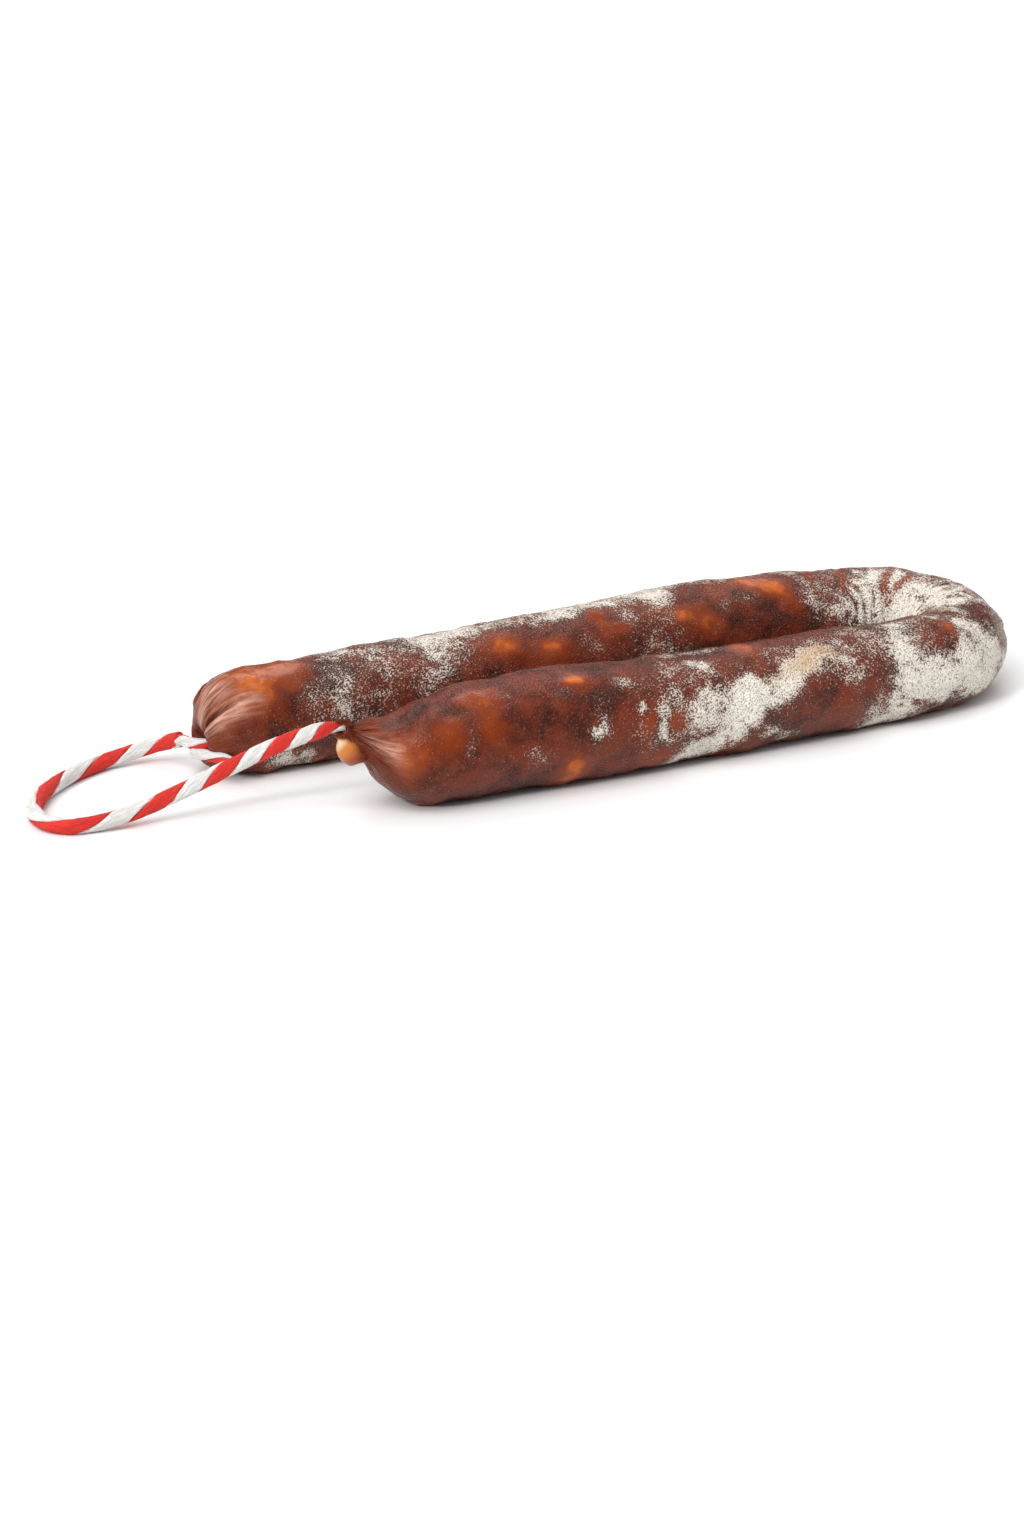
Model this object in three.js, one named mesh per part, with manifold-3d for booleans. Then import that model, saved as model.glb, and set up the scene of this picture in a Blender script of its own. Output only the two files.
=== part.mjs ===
import * as THREE from "three";
import { mergeVertices } from "three/addons/utils/BufferGeometryUtils.js";
import Module from "manifold-3d";

// A dry-cured sausage bent into a horseshoe and lying on its side. Its two tips are joined by
// one red and white two-ply cord that leaves a loop to hang it by.
// Millimetres, +Z up. The legs run along X with the bend at +X. The origin is under the middle
// of the sausage's bounding box, on the surface that it rests on.

// ---- The sausage's axis in plan, by arc length from the near tie to the far tie ----
const NEAR_LEG = 188; // gently bowed leg on the -Y side
const EASE = 30; // stretch on each side of the bend over which the bend builds up
const BEND = 44; // stretch of even curvature
const FAR_LEG = 213; // nearly straight leg on the +Y side
const NEAR_BOW_RADIUS = 1900;
const FAR_BOW_RADIUS = 5000;
const BEND_RADIUS = 24;
const START_HEADING = THREE.MathUtils.degToRad(-3.2);
const AXIS_LENGTH = NEAR_LEG + EASE + BEND + EASE + FAR_LEG;

// ---- Thickness: [distance along the axis, radius] where the casing swells or thins ----
const GIRTHS = [
  [0, 16.0],
  [56, 17.1], // near shoulder
  [136, 16.1],
  [211, 15.2], // into the bend
  [271, 16.2],
  [331, 17.7], // out of the bend
  [406, 16.2],
  [AXIS_LENGTH, 15.5],
];
const SETTLE = 0.7; // depth of the flat that the casing takes where it rests

// ---- The near tip: pleated to a point that grips the cord's end ----
const NEAR_TAPER = 27;
const NEAR_TAPER_POWER = 1.8;
const NEAR_RISE = 10.5; // the tip points up
const NEAR_RISE_LENGTH = 17;
const MOUTH_RADIUS = 2.7; // the pleats' end, as wide as the cord
const KNOB_RADIUS = 4.8; // knob of filling under the cord
const KNOB_ALONG = 3.2;
const KNOB_DROP = 6.6;

// ---- The far tip: blunt, with a short neck of gathered casing ----
const FAR_TAPER = 17;
const FAR_DROP = 5;
const NECK_RADIUS = 1.5;
const NECK_LENGTH = 3.3;

// ---- The cord ----
const CORD_DIAMETER = 4.7;
const TURN_THICKNESS = 3; // the cord is pulled flat and thin where it goes round the neck
const GAP = 0.3;

// The free cord runs from the near tip down to the surface, round the loop and up to the turn
// on the far neck.
const CORD_ROUTE = [
  [-108.0, -22.5, 25.6],
  [-115.9, -21.1, 24.1],
  [-123.3, -18.9, 21.7],
  [-130.4, -16.3, 18.5],
  [-137.2, -13.5, 15.1],
  [-144.1, -11.0, 11.5],
  [-151.3, -8.8, 8.2],
  [-158.8, -7.2, 5.4],
  [-166.7, -6.4, 3.5],
  [-174.6, -6.0, 2.6],
  [-180.6, -4.7, 2.4],
  [-185.0, -0.8, 2.4],
  [-187.0, 4.8, 2.4],
  [-186.4, 11.4, 2.4],
  [-183.4, 18.2, 2.4],
  [-178.5, 24.8, 2.4],
  [-172.6, 30.6, 2.4],
  [-166.1, 35.6, 2.4],
  [-158.9, 39.6, 2.4],
  [-151.1, 41.8, 2.9],
  [-143.4, 41.2, 4.4],
  [-137.2, 37.6, 6.7],
  [-133.4, 31.6, 9.2],
];
// The cord's free end under the turn, pressed against the tip.
const TAIL_DIAMETER = 3.6;
const TAIL_ROUTE = [
  [-133.0, 17.6, 8.6],
  [-130.6, 13.8, 8.7],
  [-127.6, 10.6, 8.2],
  [-125.0, 8.5, 7.2],
];

// ---- Facets ----
const SKIN_SIDES = 24;
const TURN_SIDES = 16;
const CORD_SIDES = 10;
const CORD_STEP = 5;

const wasm = await Module();
wasm.setup();

const clamp01 = (t) => THREE.MathUtils.clamp(t, 0, 1);

/** How far a point lies into a tip, from 1 at its end down to 0 at the end of its taper. */
const intoTip = (fromEnd, taper) => 1 - clamp01(fromEnd / taper);

/** Curvature of the axis in plan at a distance along it. */
function curvature(along) {
  const easeIn = clamp01((along - NEAR_LEG) / EASE);
  const easeOut = clamp01((along - NEAR_LEG - EASE - BEND) / EASE);
  const bending = THREE.MathUtils.lerp(1 / NEAR_BOW_RADIUS, 1 / BEND_RADIUS, easeIn);
  return THREE.MathUtils.lerp(bending, 1 / FAR_BOW_RADIUS, easeOut);
}

/** The axis in plan: a point and a heading for each millimetre along it. */
function walkAxis() {
  const stations = [{ x: 0, y: 0, heading: START_HEADING }];
  for (let along = 0; along < AXIS_LENGTH; along += 1) {
    const last = stations[stations.length - 1];
    const turn = curvature(along + 0.5);
    stations.push({
      x: last.x + Math.cos(last.heading + turn / 2),
      y: last.y + Math.sin(last.heading + turn / 2),
      heading: last.heading + turn,
    });
  }
  return stations;
}

const AXIS = walkAxis();

/** Radius of the filled casing, before the tips narrow. */
function girth(along) {
  const next = GIRTHS.findIndex(([station]) => station >= along);
  const i = THREE.MathUtils.clamp(next, 1, GIRTHS.length - 1);
  const [start, from] = GIRTHS[i - 1];
  const [end, to] = GIRTHS[i];
  return from + (to - from) * THREE.MathUtils.smoothstep(along, start, end);
}

/** Radius of the skin at a distance along the axis. */
function skinRadius(along) {
  if (along > AXIS_LENGTH) return NECK_RADIUS;
  const near = 1 - intoTip(along, NEAR_TAPER) ** NEAR_TAPER_POWER;
  const far = Math.sqrt(1 - intoTip(AXIS_LENGTH - along, FAR_TAPER) ** 2);
  const smallest = along < NEAR_TAPER ? MOUTH_RADIUS : NECK_RADIUS;
  return Math.max(girth(along) * near * far, smallest);
}

/** The axis in space at a distance along it: its point, and unit vectors ahead and to its right. */
function axisAt(along) {
  const on = THREE.MathUtils.clamp(along, 0, AXIS_LENGTH);
  const i = Math.min(Math.floor(on), AXIS.length - 2);
  const heading = THREE.MathUtils.lerp(AXIS[i].heading, AXIS[i + 1].heading, on - i);
  const ahead = new THREE.Vector3(Math.cos(heading), Math.sin(heading), 0);
  const right = new THREE.Vector3(ahead.y, -ahead.x, 0);
  const rise = NEAR_RISE * intoTip(on, NEAR_RISE_LENGTH) ** NEAR_TAPER_POWER;
  const drop = FAR_DROP * intoTip(AXIS_LENGTH - on, FAR_TAPER) ** 2;
  const height = girth(on) - SETTLE + rise - drop;
  const point = new THREE.Vector3(AXIS[i].x, AXIS[i].y, height);
  return { point: point.addScaledVector(ahead, along - i), ahead, right };
}

/** Distances along the axis at which the skin has a ring of corners. */
function skinStations() {
  const stations = [0, 1, 2.5, 4.5, 7, 10, 14, 18, 22.5, 27];
  const farTip = [17, 13, 9.5, 6.5, 4, 2, 0.8, 0.15].map((fromEnd) => AXIS_LENGTH - fromEnd);
  let along = 34;
  while (along < farTip[0] - 3) {
    stations.push(along);
    along += along > NEAR_LEG && along < AXIS_LENGTH - FAR_LEG ? 4 : 7;
  }
  return [...stations, ...farTip, AXIS_LENGTH + 0.01, AXIS_LENGTH + NECK_LENGTH];
}

/** A straight turned solid of the skin, bent along the axis and flattened where it rests. */
function bentSkin() {
  const stations = skinStations();
  const profile = stations.map((along) => new THREE.Vector2(skinRadius(along), along));
  profile.unshift(new THREE.Vector2(0, stations[0]));
  profile.push(new THREE.Vector2(0, stations[stations.length - 1]));
  const geometry = new THREE.LatheGeometry(profile, SKIN_SIDES);
  const position = geometry.getAttribute("position");
  for (let i = 0; i < position.count; i++) {
    const { point, right } = axisAt(position.getY(i));
    point.addScaledVector(right, position.getX(i));
    point.z += position.getZ(i);
    position.setXYZ(i, point.x, point.y, Math.max(point.z, 0));
  }
  return geometry;
}

/** A closed geometry as a manifold solid. */
function toSolid(geometry) {
  const bare = geometry.clone();
  bare.deleteAttribute("normal");
  bare.deleteAttribute("uv");
  const merged = mergeVertices(bare, 1e-3);
  return new wasm.Manifold(
    new wasm.Mesh({
      numProp: 3,
      vertProperties: merged.getAttribute("position").array,
      triVerts: new Uint32Array(merged.index.array),
    }),
  );
}

/** A manifold solid as a geometry. */
function toGeometry(solid) {
  const { vertProperties, triVerts } = solid.getMesh();
  return new THREE.BufferGeometry()
    .setAttribute("position", new THREE.BufferAttribute(vertProperties, 3))
    .setIndex(new THREE.BufferAttribute(triVerts, 1));
}

/** The whole sausage in its casing: the bent skin with the knob under its near end. */
function sausageGeometry() {
  const { point, ahead } = axisAt(0);
  const centre = point.addScaledVector(ahead, KNOB_ALONG);
  const knob = new THREE.SphereGeometry(KNOB_RADIUS, 16, 12);
  knob.translate(centre.x, centre.y, centre.z - KNOB_DROP);
  return toGeometry(toSolid(bentSkin()).add(toSolid(knob)));
}

/** One turn of cord round the far neck, as a ring about its own Y axis. */
function turnGeometry() {
  const inner = NECK_RADIUS + GAP;
  const section = new THREE.EllipseCurve(
    inner + TURN_THICKNESS / 2,
    TURN_THICKNESS / 2,
    TURN_THICKNESS / 2,
    TURN_THICKNESS / 2,
  );
  return new THREE.LatheGeometry(section.getPoints(8), TURN_SIDES);
}

/** A round cord that follows points, as an extrusion of its section. */
function cordGeometry(route, diameter) {
  const path = new THREE.CatmullRomCurve3(route.map((point) => new THREE.Vector3(...point)));
  const outline = new THREE.EllipseCurve(0, 0, diameter / 2, diameter / 2);
  return new THREE.ExtrudeGeometry(new THREE.Shape(outline.getPoints(CORD_SIDES)), {
    curveSegments: 1,
    steps: Math.ceil(path.getLength() / CORD_STEP),
    extrudePath: path,
  });
}

const CASING = new THREE.MeshStandardMaterial({ color: 0x6b3024, roughness: 0.45, metalness: 0 });
const TWINE = new THREE.MeshStandardMaterial({ color: 0xe2574f, roughness: 0.85, metalness: 0 });

/** A named mesh. */
function piece(name, geometry, material) {
  const mesh = new THREE.Mesh(geometry, material);
  mesh.name = name;
  return mesh;
}

/** The turn of cord in place on the far neck, just clear of the blunt tip. */
function farTurn() {
  const mesh = piece("far_turn", turnGeometry(), TWINE);
  const { point, ahead } = axisAt(AXIS_LENGTH);
  mesh.quaternion.setFromUnitVectors(new THREE.Vector3(0, 1, 0), ahead);
  mesh.position.copy(point).addScaledVector(ahead, GAP);
  return mesh;
}

const bent = new THREE.Group();
const sausage = piece("sausage", sausageGeometry(), CASING);
bent.add(sausage, farTurn());
const middle = new THREE.Box3().setFromObject(sausage, true).getCenter(new THREE.Vector3());
bent.position.set(-middle.x, -middle.y, 0);

const part = new THREE.Group();
part.add(
  bent,
  piece("hanging_cord", cordGeometry(CORD_ROUTE, CORD_DIAMETER), TWINE),
  piece("cord_tail", cordGeometry(TAIL_ROUTE, TAIL_DIAMETER), TWINE),
);

export default part;
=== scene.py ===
"""A dry-cured horseshoe sausage with its twisted hanging cord, dressed for a studio picture.

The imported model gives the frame. The sausage's skin and the cord are built here as fine meshes
that stand for the plain solids. Lengths inside the classes are millimetres, and they become
metres when a mesh is made.
"""

import logging
import math
from dataclasses import dataclass, field
from enum import Enum
from itertools import product
from typing import ClassVar

import bpy
import numpy as np
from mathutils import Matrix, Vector


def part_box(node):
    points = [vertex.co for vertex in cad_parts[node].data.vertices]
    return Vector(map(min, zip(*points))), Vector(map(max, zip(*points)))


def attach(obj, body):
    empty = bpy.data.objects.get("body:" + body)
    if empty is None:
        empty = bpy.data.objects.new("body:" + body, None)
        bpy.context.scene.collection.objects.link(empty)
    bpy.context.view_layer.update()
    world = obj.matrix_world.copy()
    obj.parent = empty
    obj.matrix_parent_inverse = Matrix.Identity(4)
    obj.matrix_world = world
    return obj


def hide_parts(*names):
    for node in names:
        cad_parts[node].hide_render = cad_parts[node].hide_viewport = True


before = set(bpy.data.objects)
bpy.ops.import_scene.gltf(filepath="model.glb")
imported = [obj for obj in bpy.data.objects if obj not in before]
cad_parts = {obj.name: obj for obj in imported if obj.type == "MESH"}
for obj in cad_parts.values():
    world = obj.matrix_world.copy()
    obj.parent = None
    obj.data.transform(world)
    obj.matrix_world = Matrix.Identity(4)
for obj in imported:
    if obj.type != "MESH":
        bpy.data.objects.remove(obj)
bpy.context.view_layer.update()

LOG = logging.getLogger("cured_sausage")
MM = 0.001

Colour = tuple[float, float, float]
Place = tuple[float, float, float]
Pair = tuple[float, float]
# Where a soft step starts and where it ends.
Band = tuple[float, float]


# ---------------------------------------------------------------- small maths


def eased(part: np.ndarray) -> np.ndarray:
    """Each share from 0 to 1, with a soft start and a soft end."""
    return part * part * (3.0 - 2.0 * part)


def ramp(value: np.ndarray, low: float, high: float) -> np.ndarray:
    """Smooth step of each value, 0 at low and 1 at high."""
    return eased(np.clip((value - low) / (high - low), 0.0, 1.0))


def bump(value: np.ndarray, width: float) -> np.ndarray:
    """Bell curve of each value, 1 at nought and about a third at the width."""
    return np.exp(-((value / width) ** 2))


def wrapped(angle: np.ndarray) -> np.ndarray:
    """Each angle in degrees, brought to between -180 and 180."""
    return (angle + 180.0) % 360.0 - 180.0


def unit(vectors: np.ndarray) -> np.ndarray:
    """Each vector of the last axis at length one."""
    return vectors / np.maximum(np.linalg.norm(vectors, axis=-1, keepdims=True), 1e-9)


@dataclass(frozen=True)
class Noise:
    """Smooth noise that repeats from run to run.

    Args:
        seed: picks one pattern.
        cells: size of the lattice of random values, after which the pattern repeats.
        gain: brings the blended values back to nearly their full range.
        shift: how far each octave is moved, so that their lattices don't line up.
    """

    seed: int
    cells: int = 48
    gain: float = 1.5
    shift: float = 17.3

    def at(self, points: np.ndarray) -> np.ndarray:
        """Noise at points.

        Args:
            points: array whose last axis holds three coordinates, in cells.

        Returns:
            Values from about -1 to 1, one for each point.
        """
        lattice = np.random.default_rng(self.seed).uniform(-1.0, 1.0, (self.cells,) * 3)
        base = np.floor(points).astype(int)
        part = eased(points - base)
        total = np.zeros(points.shape[:-1])
        for corner in product((0, 1), repeat=3):
            index = (base + corner) % self.cells
            weight = np.where(corner, part, 1.0 - part).prod(axis=-1)
            total += weight * lattice[index[..., 0], index[..., 1], index[..., 2]]
        return total * self.gain

    def layered(self, points: np.ndarray, octaves: int, fade: float = 0.5) -> np.ndarray:
        """Sum of finer and fainter copies of the noise.

        Args:
            points: as in at().
            octaves: how many copies, each twice as fine as the last.
            fade: strength of each copy against the last.

        Returns:
            Values from about -1 to 1, one for each point.
        """
        total = np.zeros(points.shape[:-1])
        reach = 0.0
        for octave in range(octaves):
            strength = fade**octave
            total += strength * self.at(points * 2.0**octave + self.shift * octave)
            reach += strength
        return total / reach


@dataclass(frozen=True)
class Layer:
    """One noise laid over the skin.

    Args:
        seed: picks its pattern.
        size: size of its largest lumps, in millimetres.
        octaves: how many copies, each twice as fine as the last.
        fade: strength of each copy against the last.
        height: what its values are multiplied by.
    """

    seed: int
    size: float
    octaves: int
    fade: float = 0.5
    height: float = 1.0

    def over(self, points: np.ndarray) -> np.ndarray:
        """The layer's value at each point."""
        return self.height * Noise(self.seed).layered(points / self.size, self.octaves, self.fade)


# ---------------------------------------------------------------- meshes


class Mesh:
    """Makes Blender meshes from arrays of millimetres."""

    @staticmethod
    def tube_faces(rings: int, sides: int, first: int = 0) -> np.ndarray:
        """Four-cornered faces between rings of corners that close on themselves.

        Args:
            rings: how many rings.
            sides: corners in each ring.
            first: index of the first ring's first corner.

        Returns:
            Array of four corner indices a face.
        """
        ring = np.arange(rings - 1)[:, None] * sides
        side = np.arange(sides)[None, :]
        after = (side + 1) % sides
        corners = (ring + side, ring + after, ring + sides + after, ring + sides + side)
        return np.stack(corners, axis=-1).reshape(-1, 4) + first

    @staticmethod
    def build(name: str, points: np.ndarray, faces: list[list[int]]) -> bpy.types.Object:
        """A smooth-shaded object from corners and faces.

        Args:
            name: the object's name.
            points: corners in millimetres.
            faces: lists of corner indices.

        Returns:
            The object, linked to the scene.
        """
        mesh = bpy.data.meshes.new(name)
        mesh.from_pydata((points * MM).tolist(), [], faces)
        mesh.shade_smooth()
        obj = bpy.data.objects.new(name, mesh)
        bpy.context.scene.collection.objects.link(obj)
        return obj

    @staticmethod
    def mark(obj: bpy.types.Object, name: str, values: np.ndarray) -> None:
        """Stores a number or a vector at each corner, for the materials to read.

        Args:
            obj: the object.
            name: the attribute's name.
            values: one number, or one row of three, a corner.
        """
        kind, key = ("FLOAT", "value") if values.ndim == 1 else ("FLOAT_VECTOR", "vector")
        layer = obj.data.attributes.new(name, kind, "POINT")
        layer.data.foreach_set(key, values.astype(np.float32).ravel())


# ---------------------------------------------------------------- shader building


class Nodes:
    """Short ways to place and link nodes in one tree."""

    def __init__(self, tree: bpy.types.NodeTree) -> None:
        """Keeps the tree that the nodes go in."""
        self.tree = tree

    def add(self, kind: str, **settings: object) -> bpy.types.Node:
        """A node.

        Args:
            kind: the node's Blender type.
            settings: properties of the node to set.

        Returns:
            The new node.
        """
        node = self.tree.nodes.new(kind)
        for name, value in settings.items():
            setattr(node, name, value)
        return node

    def join(self, value: object, socket: bpy.types.NodeSocket) -> None:
        """Links an output to a socket, or sets the socket to a plain value.

        Args:
            value: another node's output, or a value.
            socket: the input that takes it.
        """
        if isinstance(value, bpy.types.NodeSocket):
            self.tree.links.new(value, socket)
        else:
            socket.default_value = value

    def feed(self, node: bpy.types.Node, **inputs: object) -> bpy.types.Node:
        """Sets or links a node's inputs.

        Args:
            node: the node.
            inputs: socket names with _ for spaces, each a value or another node's output.

        Returns:
            The same node.
        """
        for name, value in inputs.items():
            self.join(value, node.inputs[name.replace("_", " ")])
        return node

    def attribute(self, name: str, output: str = "Fac") -> bpy.types.NodeSocket:
        """The output of a mesh attribute."""
        return self.add("ShaderNodeAttribute", attribute_name=name).outputs[output]

    def place(self) -> bpy.types.NodeSocket:
        """The surface's position in the object, in metres."""
        return self.add("ShaderNodeTexCoord").outputs["Object"]

    def noise(
        self, where: bpy.types.NodeSocket, scale: object, detail: float, rough: float
    ) -> bpy.types.NodeSocket:
        """Noise from 0 to 1.

        Args:
            where: coordinates.
            scale: cells a unit, a number or an output.
            detail: octaves.
            rough: strength of the finer octaves.

        Returns:
            The noise's value.
        """
        node = self.add("ShaderNodeTexNoise")
        self.feed(node, Vector=where, Scale=scale, Detail=detail, Roughness=rough)
        return node.outputs["Fac"]

    def between(
        self, value: bpy.types.NodeSocket, low: object, high: object
    ) -> bpy.types.NodeSocket:
        """A smooth step of a value.

        Args:
            value: what is stepped.
            low: where the step begins, a number or an output.
            high: where it ends, a number or an output.

        Returns:
            0 below low, 1 above high.
        """
        node = self.add("ShaderNodeMapRange", interpolation_type="SMOOTHSTEP")
        self.feed(node, Value=value, From_Min=low, From_Max=high)
        return node.outputs["Result"]

    def math(self, operation: str, first: object, second: object) -> bpy.types.NodeSocket:
        """One sum on values that change over the surface.

        Args:
            operation: the Math node's operation.
            first: a number or an output.
            second: a number or an output.

        Returns:
            The result.
        """
        node = self.add("ShaderNodeMath", operation=operation)
        self.join(first, node.inputs[0])
        self.join(second, node.inputs[1])
        return node.outputs[0]

    def times(self, first: object, second: object) -> bpy.types.NodeSocket:
        """The product of two numbers or outputs."""
        return self.math("MULTIPLY", first, second)

    def plus(self, first: object, second: object) -> bpy.types.NodeSocket:
        """The sum of two numbers or outputs."""
        return self.math("ADD", first, second)

    def less(self, first: object, second: object) -> bpy.types.NodeSocket:
        """The first number or output less the second."""
        return self.math("SUBTRACT", first, second)

    def mix(self, share: object, first: object, second: object) -> bpy.types.NodeSocket:
        """A mix of two colours.

        Args:
            share: how much of the second, from 0 to 1.
            first: a colour or an output.
            second: a colour or an output.

        Returns:
            The mixed colour.
        """
        node = self.add("ShaderNodeMix", data_type="RGBA")
        for name, value in (("Factor_Float", share), ("A_Color", first), ("B_Color", second)):
            socket = next(s for s in node.inputs if s.identifier == name)
            self.join((*value, 1.0) if isinstance(value, tuple) else value, socket)
        return next(s for s in node.outputs if s.identifier == "Result_Color")


class SocketKind(Enum):
    """What a group's socket carries."""

    VALUE = "NodeSocketFloat"
    PLACE = "NodeSocketVector"
    COLOUR = "NodeSocketColor"


class Effect:
    """A shader node group in the making, with named inputs and outputs."""

    def __init__(
        self, name: str, inputs: dict[str, SocketKind], outputs: dict[str, SocketKind]
    ) -> None:
        """Makes the empty group.

        Args:
            name: the group's name.
            inputs: socket names and what each carries.
            outputs: likewise.
        """
        self.tree = bpy.data.node_groups.new(name, "ShaderNodeTree")
        for label, kind in inputs.items():
            self.tree.interface.new_socket(label, in_out="INPUT", socket_type=kind.value)
        for label, kind in outputs.items():
            self.tree.interface.new_socket(label, in_out="OUTPUT", socket_type=kind.value)
        self.nodes = Nodes(self.tree)
        self.given = self.nodes.add("NodeGroupInput").outputs
        self.result = self.nodes.add("NodeGroupOutput")

    def finish(self, **outputs: bpy.types.NodeSocket) -> bpy.types.NodeTree:
        """Links the group's outputs and returns its tree."""
        self.nodes.feed(self.result, **outputs)
        return self.tree


@dataclass(frozen=True)
class Specks:
    """Fine grains that cover more of a surface as an amount rises.

    Args:
        detail: octaves in the grains.
        rough: strength of the finer octaves.
        bare: how high a grain stands before it shows, where the amount is nought.
        spread: how far that level falls as the amount rises to 1.
        edge: softness of a grain's edge.
    """

    detail: float = 1.2
    rough: float = 0.5
    bare: float = 0.66
    spread: float = 0.47
    edge: float = 0.16

    def build(self) -> bpy.types.NodeTree:
        """Makes the group.

        Returns:
            The group: Place, Grains and Amount in; Cover and Height out.
        """
        effect = Effect(
            "fine_specks",
            {"Place": SocketKind.PLACE, "Grains": SocketKind.VALUE, "Amount": SocketKind.VALUE},
            {"Cover": SocketKind.VALUE, "Height": SocketKind.VALUE},
        )
        n, given = effect.nodes, effect.given
        height = n.noise(given["Place"], given["Grains"], self.detail, self.rough)
        low = n.less(self.bare, n.times(given["Amount"], self.spread))
        cover = n.between(height, low, n.plus(low, self.edge))
        return effect.finish(Cover=cover, Height=height)


@dataclass(frozen=True)
class Streaks:
    """Long thin streaks along a direction that the coordinates are stretched in.

    Args:
        detail: octaves in the streaks.
        rough: strength of the finer octaves.
        band: noise at the bottom of a furrow and at the top of a ridge.
    """

    detail: float = 3.0
    rough: float = 0.55
    band: Band = (0.32, 0.68)

    def build(self) -> bpy.types.NodeTree:
        """Makes the group.

        Returns:
            The group: Place and Scale in; Streak out, from 0 in the furrows to 1 on the ridges.
        """
        effect = Effect(
            "drawn_streaks",
            {"Place": SocketKind.PLACE, "Scale": SocketKind.VALUE},
            {"Streak": SocketKind.VALUE},
        )
        n, given = effect.nodes, effect.given
        fine = n.noise(given["Place"], given["Scale"], self.detail, self.rough)
        return effect.finish(Streak=n.between(fine, *self.band))


class Effects:
    """The shader groups, built once and shared by the materials."""

    def __init__(self) -> None:
        """Builds every group."""
        self.specks = Specks().build()
        self.streaks = Streaks().build()

    @staticmethod
    def use(nodes: Nodes, group: bpy.types.NodeTree, **inputs: object) -> bpy.types.Node:
        """Places a group in a material's tree.

        Args:
            nodes: the material's nodes.
            group: the group.
            inputs: values and links for its sockets.

        Returns:
            The group's node.
        """
        node = nodes.add("ShaderNodeGroup", node_tree=group)
        return nodes.feed(node, **inputs)


def new_material(name: str) -> tuple[bpy.types.Material, Nodes, bpy.types.Node]:
    """An empty node material.

    Args:
        name: the material's name.

    Returns:
        The material, its nodes, and its Principled BSDF.
    """
    material = bpy.data.materials.new(name)
    material.use_nodes = True
    shader = material.node_tree.nodes["Principled BSDF"]
    return material, Nodes(material.node_tree), shader


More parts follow.
